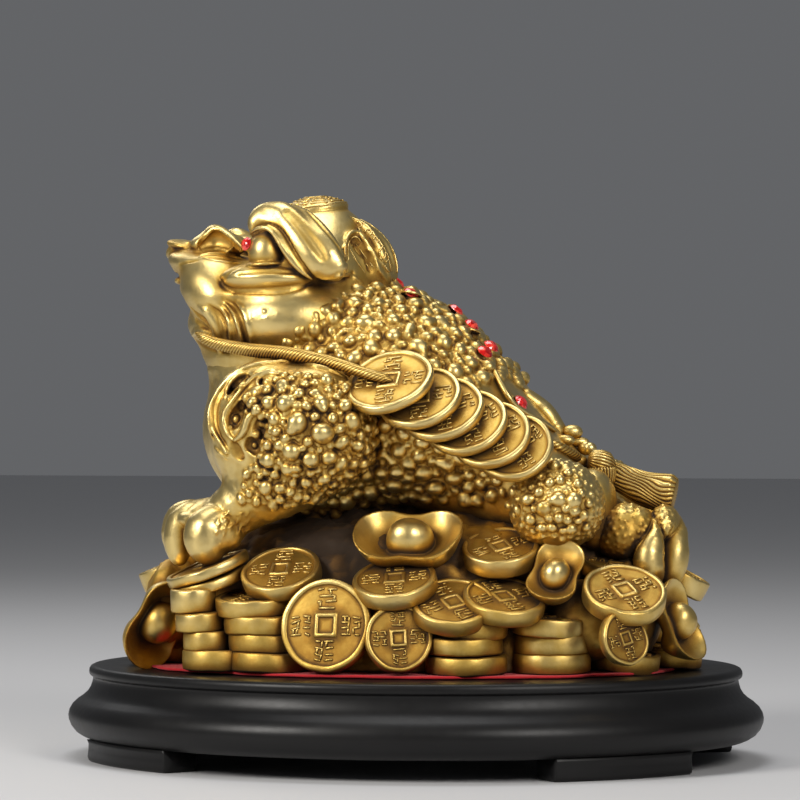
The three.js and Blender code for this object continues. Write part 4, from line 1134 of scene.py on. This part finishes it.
def ingot_field(h):
    f = Field((-26, -18, -13), (26, 18, 17), h)
    X, Y, Z = f.ax[0][:, None, None], f.ax[1][None, :, None], f.ax[2][None, None, :]
    wing = lambda s: (np.sqrt(((X - s * 9.5) / 13.5) ** 2 + (Y / 15.0) ** 2) - 1) * 13.5
    plan = smin(wing(-1), wing(1), 9.0)
    q = np.clip(1 + plan / 13.5, 0, 1.3)
    top = -1.5 + 6.6 * q**2.4 + 3.6 * (X / 23) ** 2
    thick = 2.6 + 10.0 * np.clip(1 - q, 0, 1) ** 0.75
    g = 0.72
    v = -smin(-np.maximum((Z - top) * g, (top - thick - Z) * g), -plan, 1.6)
    f.d = v.astype(F32)
    f.put(lump((0, 0, 1.5), (10.2, 9.2, 10.4)), 0.8, margin=6)
    return f


def build_ingots():
    f = ingot_field(0.5)
    src = polygonise(f, "ingot", 12000)
    me = src.data
    co = np.empty(len(me.vertices) * 3, F32)
    me.vertices.foreach_get("co", co)
    co = co.reshape(-1, 3).astype(float) * 1000
    hol = np.empty(len(me.vertices), F32)
    me.attributes["hollow"].data.foreach_get("value", hol)
    loops = np.empty(len(me.loops), np.int32)
    me.loops.foreach_get("vertex_index", loops)
    size = np.empty(len(me.polygons), np.int32)
    me.polygons.foreach_get("loop_total", size)
    start = np.empty(len(me.polygons), np.int32)
    me.polygons.foreach_get("loop_start", start)
    quads = np.stack([loops[start[size == 4] + i] for i in range(4)], 1) if (size == 4).any() else np.zeros((0, 4), int)
    tris = np.stack([loops[start[size == 3] + i] for i in range(3)], 1) if (size == 3).any() else np.zeros((0, 3), int)
    bpy.data.objects.remove(src)
    bpy.data.meshes.remove(me)
    M = Shell()
    for at, n, u, size in INGOTS:
        n = np.array(n, float) / np.linalg.norm(n)
        u = np.array(u, float) - n * np.dot(n, u)
        u /= np.linalg.norm(u)
        p = (co * size) @ np.stack([u, np.cross(n, u), n]) + at
        # each ingot's underside gets painted shade
        M.add(p, quads, tris, hol + 0.4 * np.clip((-co[:, 2] - 1) / 4, 0, 1))
    return M.build("ingots", ((0.5, 5.0), (0.12, 1.6)), low_shade_and_patches)


def build_coins():
    M = Shell()
    for i, (deg, count, lean) in enumerate(STACKS):
        a = math.radians(deg)
        edge_stack(M, HEAP_A * math.cos(a), HEAP_B * math.sin(a), CAST_Z, count, 8.0, 16.6, lean, i)
    # the two stacks at the front left, whose coins differ in size
    for k, (x, y, z, r, t, lean) in enumerate((
        (-67.0, -73, 45.4, 14.0, 8.6, 0), (-70.4, -76, 53.6, 9.4, 8.2, 2.5), (-73.2, -76, 61.4, 10.2, 7.8, 4), (-76.4, -75, 70.0, 9.4, 9.6, 3),
        (-43.5, -74, 45.3, 16.8, 8.0, 1), (-45, -73, 53.2, 16.2, 7.6, 2), (-46.5, -73, 60.8, 16.6, 7.6, 3), (-50, -72, 69.0, 17.2, 7.4, 9),
    )):
        li = math.radians(lean)
        coin(M, (x, y, z), (-0.3 * math.sin(li), -math.sin(li), math.cos(li)), r, t, 0.4 * k, 1 if k == 7 else -1, 70 + k, 40)
    for k, (x, y, z, nx, ny, nz, r, t, spin) in enumerate(LAID):
        coin(M, (x, y, z), (nx, ny, nz), r, t, spin, 1, k, 48 if y < 0 else 36)
    return M.build("heap_coins", ((0.34, 6.0), (0.15, 1.6)), low_shade_and_patches)


def build_paw_coins():
    M = Shell()
    for s in (-1, 1):
        n = np.array([-0.31, s * 0.16, 0.94])
        coin(M, (-73.5, s * 64, 82.4), n, 17.8, 4.6, 0.3, 0, 40, 48)
        coin(M, (-73.0, s * 64, 77.0), n * (0.8, 1, 1), 16.4, 4.8, 0.8, 0, 41, 48)
    return M.build("paw_coins", ((0.4, 5.0), (0.15, 1.6)))


# ---------------------------------------------------------------- cord, strung coins and tassel
def twist(lobes, pitch, length, depth):
    def r(t, a):
        return 1 - depth + depth * np.abs(np.cos(0.5 * (lobes * a + 2 * math.pi * lobes * t * length / pitch)))
    return r


STRUNG = []
for k, (x, z, r) in enumerate(((5.4, 160.3, 18.8), (18.0, 153.6, 17.6), (27.0, 149.0, 17.4), (37.0, 143.6, 17.2), (46.6, 138.6, 17.0), (56.2, 133.4, 16.4))):
    STRUNG.append(((x, -66.5 + 1.45 * k, z), (-0.12 + 0.032 * k, -0.64 - 0.03 * k, 0.77 - 0.035 * k), r))


CORD = [spot(u, v, Y) for u, v, Y in ((196, 331, -38), (215, 341, -42), (250, 348, -50), (290, 352, -60), (330, 360, -64), (365, 371, -68), (392, 379, -68.5))]


def build_cord(line):
    M = Shell()
    length = sum(np.linalg.norm(np.diff(smooth_line(line, 8), axis=0), axis=1))
    tw = twist(8, 12.5, length, 0.19)
    ends = lambda t: np.clip(np.minimum(t / 0.05, (1 - t) / 0.03), 0.12, 1) ** 0.5
    sweep(M, line, lambda t, a: (2.1 + 0.95 * np.sin(math.pi * np.clip(t, 0, 1) ** 0.8)) * ends(t) * tw(t, a), 270, 40, lambda t, a: np.clip((1 - tw(t, a)) * 4.5, 0, 1))
    return M.build("cord")


def build_strung():
    M = Shell()
    for k, (c, n, r) in enumerate(STRUNG):
        coin(M, c, n, r, 4.2, 0.15 + 0.1 * k, 1, 200 + k, 64, 0.7)
    return M.build("strung_coins", ((0.25, 5.0), (0.09, 1.4)))


def build_tassel():
    M = Shell()
    f = Field((10, -72, 88), (100, 6, 200), 2.0)
    base(f)
    f.put(lump((71.5, -46, 109.5), (19.6, 20, 19), 0), 1.6)

    def on(u, v, lift):
        return f.sight(seen([(u, v)]), lift)[0][0]

    # broad smooth strap from the last coin over the back to the knots
    strap = [on(522, 386, -2.6), on(529, 393.5, -1.6), on(539, 403, -1.0), on(548.5, 413, -0.8), on(556, 423, -1.0), on(563, 432, -1.4)]
    sweep(M, strap, lambda t, a: np.interp(t, [0, 0.12, 0.5, 0.9, 1], [2.0, 4.0, 4.9, 4.2, 2.4]) + 0.0 * a, 40, 30)
    ribbon = [on(489, 366, 1.6), on(496, 381, 2.0), on(504, 396, 2.4), on(512.5, 406, 2.2), on(525, 413.7, 1.6), on(541, 422.5, 1.2), on(554, 430, 0.8)]
    sweep(M, ribbon, lambda t, a: np.interp(t, [0, 0.1, 0.9, 1], [0.6, 1.25, 1.25, 0.8]) + 0.0 * a, 60, 14)
    for u, v, lift, wide, high in ((569.5, 432.5, 1.6, 4.6, 3.2), (582, 448.7, 1.8, 3.3, 3.2), (577, 441, 0.8, 4.6, 2.2), (564, 439, 0.4, 4.4, 2.4), (589, 447, 0.2, 3.2, 2.8), (576, 458, -0.6, 5.5, 3.4)):
        p = on(u, v, lift)
        sweep(M, [p - RIGHT * wide, p, p + RIGHT * wide], lambda t, a: high * np.sqrt(np.clip(1 - (2 * t - 1) ** 2, 0.004, 1)), 20, 22)
    rope = [on(550, 442, 0.2), on(558, 447, 0.9), on(568, 453, 1.2), on(577, 459, 1.2), on(586, 466, 0.6)]
    tw = twist(6, 7.0, 17.0, 0.24)
    sweep(M, rope, lambda t, a: 2.3 * tw(t, a), 64, 42, lambda t, a: np.clip((1 - tw(t, a)) * 4, 0, 1))
    # cap in two ribbed halves, then the skirt of wavy strands
    for line, ribs, prof in (
        ([spot(588.5, 458, -19), spot(601, 461, -17), spot(614.5, 466, -14)], 11, [2.6, 4.6, 5.6, 5.4, 3.4, 1.4]),
        ([spot(601, 464, -17), spot(601.5, 474, -17), spot(601, 486, -16.5)], 14, [4.8, 6.5, 6.4, 6.0, 4.6, 1.6]),
    ):
        def cap_r(t, a):
            return np.interp(t, [0, 0.12, 0.4, 0.65, 0.88, 1], prof) * (0.92 + 0.08 * np.abs(np.cos(ribs * a)))
        sweep(M, line, cap_r, 18, ribs * 12, lambda t, a: np.clip(0.9 - 1.0 * np.abs(np.cos(ribs * a)), 0, 1))
    skirt = [spot(604, 469, -12), spot(620, 476, -11), spot(646, 487, -9.5), spot(675, 493.5, -9)]
    def sway(t, a):
        return 0.22 * np.sin(5.2 * t + 1.5 * np.sin(a)) + 0.1 * np.sin(11 * t + 2.0 * np.cos(2 * a))
    def strand(t, a):
        return np.abs(np.cos(12 * (a + sway(t, a)))) ** 0.8
    def skirt_r(t, a):
        body = np.interp(t, [0, 0.06, 0.3, 0.65, 0.93, 1], [3.5, 5.6, 6.4, 7.8, 8.6, 7.2])
        return body * (0.88 + 0.09 * strand(t, a) + 0.03 * np.cos(3 * (a + sway(t, a)))) * (1 + 0.03 * np.cos(2 * a + 4 * t))
    sweep(M, skirt, skirt_r, 64, 192, lambda t, a: np.clip(1.1 - 1.25 * strand(t, a), 0, 1))
    return M.build("tassel", ((0.12, 3.0),), lambda p: 0.14 * np.clip((p[:, 0] - 88) / 12, 0, 1))


# ---------------------------------------------------------------- plinth and felt
PLINTH_A, PLINTH_B = 150.0, 126.0
PLINTH_PROFILE = [
    (0.5, 9.0), (60, 9.0), (120, 9.0), (140.6, 9.0), (142.6, 9.15), (144.4, 9.9), (146.8, 11.4), (148.8, 13.9), (149.8, 16.4), (150.0, 18.2), (149.5, 20.4), (148.2, 22.6),
    (146.0, 24.6), (143.6, 26.2), (141.6, 28.0), (140.2, 30.2), (139.5, 32.4), (139.2, 33.9), (139.25, 34.6), (139.7, 34.95), (140.4, 35.3),
    (140.85, 35.9), (140.95, 36.8), (140.8, 37.9), (140.2, 38.85), (139.2, 39.35), (138.0, 39.5), (130, 39.5), (100, 39.5), (50, 39.5), (0.5, 39.5),
]


def build_plinth():
    M = Shell()
    k = 288
    a = np.arange(k) * 2 * math.pi / k
    b = PLINTH_B / PLINTH_A
    M.rings([np.stack([x * np.cos(a), x * b * np.sin(a), np.full(k, z)], 1) for x, z in PLINTH_PROFILE])
    # bracket feet: the outer face is hollowed a little, the ends are square with eased edges
    for a0, a1 in ((26, 55.5), (124.5, 154), (206, 235.5), (304.5, 334)):
        ts = np.concatenate([[a0, a0 + 0.12, a0 + 0.4], np.linspace(a0 + 0.4, a1 - 0.4, 30)[1:-1], [a1 - 0.4, a1 - 0.12, a1]])
        rings = []
        for j, d in enumerate(ts):
            e = 0.45 if j in (0, len(ts) - 1) else 0.12 if j in (1, len(ts) - 2) else 0.0
            sec = [(126.0 + e, 9.3), (126.0 + e, 0.5 + e), (126.5 + e, 0.12 + e), (127 + e, e * 0.6), (142.4 - e, e * 0.6), (143.3 - e, 0.15 + e * 0.8), (143.9 - e, 0.7 + e), (144.3 - e, 2.0 + e), (144.0 - e, 5.0), (143.9 - e, 7.6), (144.6 - e, 9.3)]
            c, s = math.cos(math.radians(d)), math.sin(math.radians(d))
            rings.append([(x * c, x * b * s, z) for x, z in sec])
        M.rings(rings, 0.0)
    return M.build("plinth_turned")


def build_felt():
    M = Shell()
    k = 420
    a = np.arange(k) * 2 * math.pi / k
    rng = np.random.default_rng(9)
    wave = 1.0 * np.sin(13 * a + 0.7) + 0.5 * np.sin(29 * a + 1.9) + 0.35 * np.sin(53 * a + 0.4)
    rings = []
    for out, z in ((-60, 39.8), (-20, 39.8), (-4, 39.8), (-0.8, 39.82), (-0.15, 40.05), (0.0, 40.4), (-0.2, 40.8), (-0.9, 41.0), (-4, 41.0), (-20, 41.0), (-60, 41.0)):
        lift = (0.25 * np.sin(9 * a + 2) + 0.2 * np.sin(23 * a)) * max(0, 1 - abs(out) / 4) * (1 if z > 40.2 else 0.4)
        lift = np.maximum(lift, 0)
        x = (HEAP_A + 16.5 + 0.4 + wave + out - 8.0 * np.cos(a) ** 6) * np.cos(a)  # its ends stay under the casting
        y = (HEAP_B + 16.5 + 0.4 + wave + out) * np.sin(a)
        rings.append(np.stack([x, y, np.full(k, z) + lift * 0.8], 1))
    M.rings(rings)
    return M.build("felt")


# ---------------------------------------------------------------- red stones
def build_stone(node, axis, size):
    """A cut stone in place of a plain one: table, star and kite facets, girdle, and a shallow back."""
    lo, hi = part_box(node)
    c = STONES[int(node[-1]) - 1] if node.startswith("back") else (np.array(lo) + np.array(hi)) * 500.0
    u, w, n = axes(axis, 0.3)
    r = 3.5 * size
    c = c - n * 1.15 * size + (np.array([1.8, math.copysign(1.2, c[1]), 1.7]) if "eye" in node else 0)
    def ringp(rad, z, count, turn=0.0):
        return [c + u * rad * math.cos(2 * math.pi * (i + turn) / count) + w * rad * math.sin(2 * math.pi * (i + turn) / count) + n * z for i in range(count)]
    pts = ringp(r * 0.50, 2.3 * size, 8) + ringp(r * 0.76, 1.72 * size, 8, 0.5) + ringp(r, 0.75 * size, 16) + ringp(r, 0.45 * size, 16) + [c + n * 2.3 * size, c - n * 0.1]
    T, K, G, B = 0, 8, 16, 32
    tris = []
    for i in range(8):
        j = (i + 1) % 8
        tris += [(48, T + i, T + j), (T + i, K + i, T + j)]
        g0, g1, g2 = G + (2 * i) % 16, G + (2 * i + 1) % 16, G + (2 * i + 2) % 16
        kp = K + (i - 1) % 8
        tris += [(T + i, kp, g0), (T + i, g0, K + i), (K + i, g0, g1), (K + i, g1, g2)]
    for i in range(16):
        j = (i + 1) % 16
        tris += [(G + i, B + i, B + j), (G + i, B + j, G + j), (B + i, 49, B + j)]
    ob = mesh_object(node + "_cut", np.array(pts), np.array(tris))
    ob.data.polygons.foreach_set("use_smooth", np.zeros(len(ob.data.polygons), bool))
    return ob


# ---------------------------------------------------------------- materials
def graph(name):
    m = bpy.data.materials.new(name)
    m.use_nodes = True
    nt = m.node_tree
    nt.nodes.clear()
    out = nt.nodes.new("ShaderNodeOutputMaterial")
    b = nt.nodes.new("ShaderNodeBsdfPrincipled")
    nt.links.new(b.outputs[0], out.inputs[0])
    return m, nt, b


class Nodes:
    """Short ways to write a node graph."""

    def __init__(self, nt):
        self.nt = nt

    def new(self, kind, **kw):
        n = self.nt.nodes.new("ShaderNode" + kind)
        for k, v in kw.items():
            if k in n.inputs:
                n.inputs[k].default_value = v
            else:
                setattr(n, k, v)
        return n

    def link(self, a, b):
        self.nt.links.new(a, b)

    def math(self, op, a, b=None, c=None, clamp=False):
        n = self.nt.nodes.new("ShaderNodeMath")
        n.operation = op
        n.use_clamp = clamp
        for i, v in enumerate((a, b, c)):
            if v is None:
                continue
            if isinstance(v, (int, float)):
                n.inputs[i].default_value = v
            else:
                self.link(v, n.inputs[i])
        return n.outputs[0]

    def noise(self, vec, scale, detail=3.0, rough=0.5, warp=0.0):
        n = self.nt.nodes.new("ShaderNodeTexNoise")
        n.inputs["Scale"].default_value = scale
        n.inputs["Detail"].default_value = detail
        n.inputs["Roughness"].default_value = rough
        n.inputs["Distortion"].default_value = warp
        self.link(vec, n.inputs["Vector"])
        return n.outputs[0]

    def ramp(self, fac, stops):
        n = self.nt.nodes.new("ShaderNodeValToRGB")
        e = n.color_ramp.elements
        while len(e) > 1:
            e.remove(e[-1])
        e[0].position, e[0].color = stops[0][0], (*stops[0][1], 1)
        for pos, col in stops[1:]:
            x = e.new(pos)
            x.color = (*col, 1)
        self.link(fac, n.inputs[0])
        return n.outputs[0]

    def span(self, v, a, b, c, d):
        n = self.nt.nodes.new("ShaderNodeMapRange")
        n.inputs["From Min"].default_value, n.inputs["From Max"].default_value = a, b
        n.inputs["To Min"].default_value, n.inputs["To Max"].default_value = c, d
        self.link(v, n.inputs["Value"])
        return n.outputs[0]


def brass():
    """Cast brass: bright where it is handled, brown to black with patina in its hollows, and painted shade from ambient
    occlusion where surfaces and parts close in.
    """
    m, nt, b = graph("brass")
    G = Nodes(nt)
    tex = G.new("TexCoord").outputs["Object"]
    att = G.new("Attribute", attribute_name="hollow").outputs["Fac"]
    ao = G.new("AmbientOcclusion", samples=6)
    ao.inputs["Distance"].default_value = 0.007
    # one minus the ambient occlusion: painted shade where surfaces and nearby parts close in
    occlusion_shade = G.math("SUBTRACT", 1.0, ao.outputs["AO"])
    # patina of the hollows from the hollow attribute, which carries painted shade in places, plus the occlusion's
    # painted shade
    deep = G.math("ADD", G.math("MULTIPLY", att, 0.62), G.math("MULTIPLY", occlusion_shade, 0.72))
    blot = G.noise(tex, 38, 5, 0.6, 0.4)
    fine = G.noise(tex, 240, 4, 0.6)
    # this mix sets colour, metal and roughness: bright where handled, dark with patina and painted shade, with random
    # blotches of tone
    wear_patina_and_shade = G.math("ADD", deep, G.math("MULTIPLY", G.math("SUBTRACT", blot, 0.5), 0.34))
    wear_patina_and_shade = G.math("ADD", wear_patina_and_shade, G.math("MULTIPLY", G.math("SUBTRACT", fine, 0.5), 0.16))
    col = G.ramp(wear_patina_and_shade, [(0.02, (0.80, 0.615, 0.25)), (0.2, (0.65, 0.43, 0.10)), (0.38, (0.41, 0.22, 0.038)), (0.58, (0.16, 0.075, 0.013)), (0.82, (0.028, 0.014, 0.005))])
    G.link(col, b.inputs["Base Color"])
    G.link(G.span(wear_patina_and_shade, 0.35, 0.85, 1.0, 0.25), b.inputs["Metallic"])
    rough = G.math("ADD", G.span(wear_patina_and_shade, 0.0, 0.9, 0.34, 0.85), G.math("MULTIPLY", G.math("SUBTRACT", fine, 0.5), 0.12))
    G.link(rough, b.inputs["Roughness"])
    grain = G.math("ADD", G.math("MULTIPLY", G.noise(tex, 900, 3, 0.6), 0.5), G.noise(tex, 260, 4, 0.6))
    bump = G.new("Bump", Strength=0.22)
    bump.inputs["Distance"].default_value = 0.0004
    G.link(grain, bump.inputs["Height"])
    G.link(bump.outputs[0], b.inputs["Normal"])
    return m


def black_wood():
    """Black satin lacquer over wood: soft pores and faint random blotches of tone."""
    m, nt, b = graph("black_wood")
    G = Nodes(nt)
    tex = G.new("TexCoord").outputs["Object"]
    blot = G.noise(tex, 14, 5, 0.6)
    fine = G.noise(tex, 320, 3, 0.6)
    G.link(G.ramp(blot, [(0.3, (0.0035, 0.0034, 0.0036)), (0.7, (0.007, 0.0066, 0.0066))]), b.inputs["Base Color"])
    rough = G.math("ADD", G.span(blot, 0.3, 0.7, 0.34, 0.44), G.math("MULTIPLY", G.math("SUBTRACT", fine, 0.5), 0.12))
    G.link(rough, b.inputs["Roughness"])
    b.inputs["Specular IOR Level"].default_value = 0.28
    stretch = G.new("Mapping")
    stretch.inputs["Scale"].default_value = (12, 160, 160)
    G.link(tex, stretch.inputs["Vector"])
    grain = G.math("ADD", G.math("MULTIPLY", G.noise(stretch.outputs[0], 3.0, 4, 0.6, 0.6), 0.8), G.math("MULTIPLY", fine, 0.5))
    bump = G.new("Bump", Strength=0.10)
    bump.inputs["Distance"].default_value = 0.0003
    G.link(grain, bump.inputs["Height"])
    G.link(bump.outputs[0], b.inputs["Normal"])
    return m


def red_felt():
    m, nt, b = graph("red_felt")
    G = Nodes(nt)
    tex = G.new("TexCoord").outputs["Object"]
    fuzz = G.noise(tex, 1500, 4, 0.7, 1.5)
    blot = G.noise(tex, 90, 3)
    mix = G.math("ADD", G.math("MULTIPLY", fuzz, 0.7), G.math("MULTIPLY", blot, 0.4))
    G.link(G.ramp(mix, [(0.3, (0.30, 0.003, 0.008)), (0.8, (0.62, 0.012, 0.022))]), b.inputs["Base Color"])
    b.inputs["Roughness"].default_value = 0.95
    b.inputs["Sheen Weight"].default_value = 0.4
    b.inputs["Sheen Roughness"].default_value = 0.5
    b.inputs["Sheen Tint"].default_value = (1, 0.35, 0.35, 1)
    bump = G.new("Bump", Strength=0.6)
    bump.inputs["Distance"].default_value = 0.0004
    G.link(fuzz, bump.inputs["Height"])
    G.link(bump.outputs[0], b.inputs["Normal"])
    return m


def red_stone():
    """Red glass over foil: its own deep red, with bright red and pink cells in the colour that are painted glints of
    light coming back from the foil.
    """
    m, nt, b = graph("red_stone")
    G = Nodes(nt)
    tex = G.new("TexCoord").outputs["Object"]
    # random cells of the colour are painted glints, from dark red to bright pink-orange
    cell = G.new("TexVoronoi")
    cell.inputs["Scale"].default_value = 620
    G.link(tex, cell.inputs["Vector"])
    lum = G.noise(cell.outputs["Color"], 1.7, 1)
    G.link(G.ramp(lum, [(0.34, (0.42, 0.002, 0.002)), (0.5, (0.85, 0.010, 0.008)), (0.64, (1.0, 0.09, 0.05))]), b.inputs["Base Color"])
    b.inputs["Metallic"].default_value = 0.15
    b.inputs["Roughness"].default_value = 0.12
    b.inputs["Coat Weight"].default_value = 1.0
    b.inputs["Coat Roughness"].default_value = 0.03
    return m


def plain(name, colour, rough):
    m, nt, b = graph(name)
    b.inputs["Base Color"].default_value = (*colour, 1)
    b.inputs["Roughness"].default_value = rough
    return m


# ---------------------------------------------------------------- floor, light and camera
def floor():
    me = bpy.data.meshes.new("floor")
    s = 6.0
    me.from_pydata([(-s, -s, 0), (s, -s, 0), (s, s, 0), (-s, s, 0)], [], [(0, 1, 2, 3)])
    ob = bpy.data.objects.new("floor", me)
    bpy.context.scene.collection.objects.link(ob)
    ob.data.materials.append(plain("pale_floor", (0.60, 0.60, 0.61), 0.55))


def lamp(name, place, look, size, power, colour=(1, 1, 1)):
    li = bpy.data.lights.new(name, "AREA")
    li.shape = "RECTANGLE"
    li.size, li.size_y = size
    li.energy = power
    li.color = colour
    ob = bpy.data.objects.new(name, li)
    bpy.context.scene.collection.objects.link(ob)
    ob.location = place
    ob.rotation_euler = (Vector(look) - Vector(place)).to_track_quat("-Z", "Y").to_euler()
    return ob


def studio():
    floor()
    lamp("key", (-0.95, -1.15, 0.95), (0, 0, 0.13), (0.55, 0.7), 20, (1.0, 0.97, 0.92))
    lamp("second", (0.95, -1.0, 0.85), (0, 0, 0.13), (0.45, 0.6), 11, (1.0, 0.97, 0.93))
    lamp("top", (-0.1, 0.1, 1.35), (0, 0, 0.1), (0.7, 0.7), 7)
    lamp("rim", (-0.8, 0.8, 0.95), (0, 0, 0.13), (0.4, 0.5), 2)
    world = bpy.data.worlds.new("soft_room")
    bpy.context.scene.world = world
    world.use_nodes = True
    world.node_tree.nodes["Background"].inputs[0].default_value = (0.78, 0.8, 0.84, 1)
    world.node_tree.nodes["Background"].inputs[1].default_value = 0.16
    bpy.context.scene.view_settings.view_transform = "Standard"
    cam = bpy.data.cameras.new("camera")
    cam.lens, cam.sensor_width, cam.clip_start = 178.3, 36, 0.01
    eye = bpy.data.objects.new("camera", cam)
    bpy.context.scene.collection.objects.link(eye)
    eye.location = EYE / 1000
    eye.rotation_euler = (math.radians(90), 0, EYE_TURN)
    bpy.context.scene.camera = eye


# ---------------------------------------------------------------- assembly
studio()
cast = [*build_head(), build_torso(), *build_haunches(), *build_arms(), build_foot()]
cast += [build_cord(CORD), build_strung(), build_tassel(), build_mound(), build_ingots(), build_coins(), build_paw_coins()]
plinth = build_plinth()
felt = build_felt()

BRASS, WOOD, FELT, STONE = brass(), black_wood(), red_felt(), red_stone()
stones = []
up = {1: (0.4, 0, 0.92)}
for name, ob in sorted(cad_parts.items()):
    if "stone" in name:
        eye_side = -1 if name.startswith("left") else 1
        if name.endswith("eye_stone"):
            lo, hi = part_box(name)
            axis = (-0.55, eye_side * 0.75, 0.25)
            s = build_stone(name, axis, 0.85)
        else:
            p = (np.array(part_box(name)[0]) + np.array(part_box(name)[1])) * 500
            t = (p[0] - 4) / 60
            axis = (0.80, -0.22, 0.56) if name.endswith("7") else (0.62, p[1] / 60.0, 0.78)
            s = build_stone(name, axis, 1.0)
        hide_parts(name)
        s.data.materials.append(STONE)
        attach(s, "root")
for o in cast:
    o.data.materials.append(BRASS)
    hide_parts("toad_casting")
    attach(o, "root")
plinth.data.materials.append(WOOD)
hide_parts("plinth")
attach(plinth, "root")
felt.data.materials.append(FELT)
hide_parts("felt_pad")
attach(felt, "root")
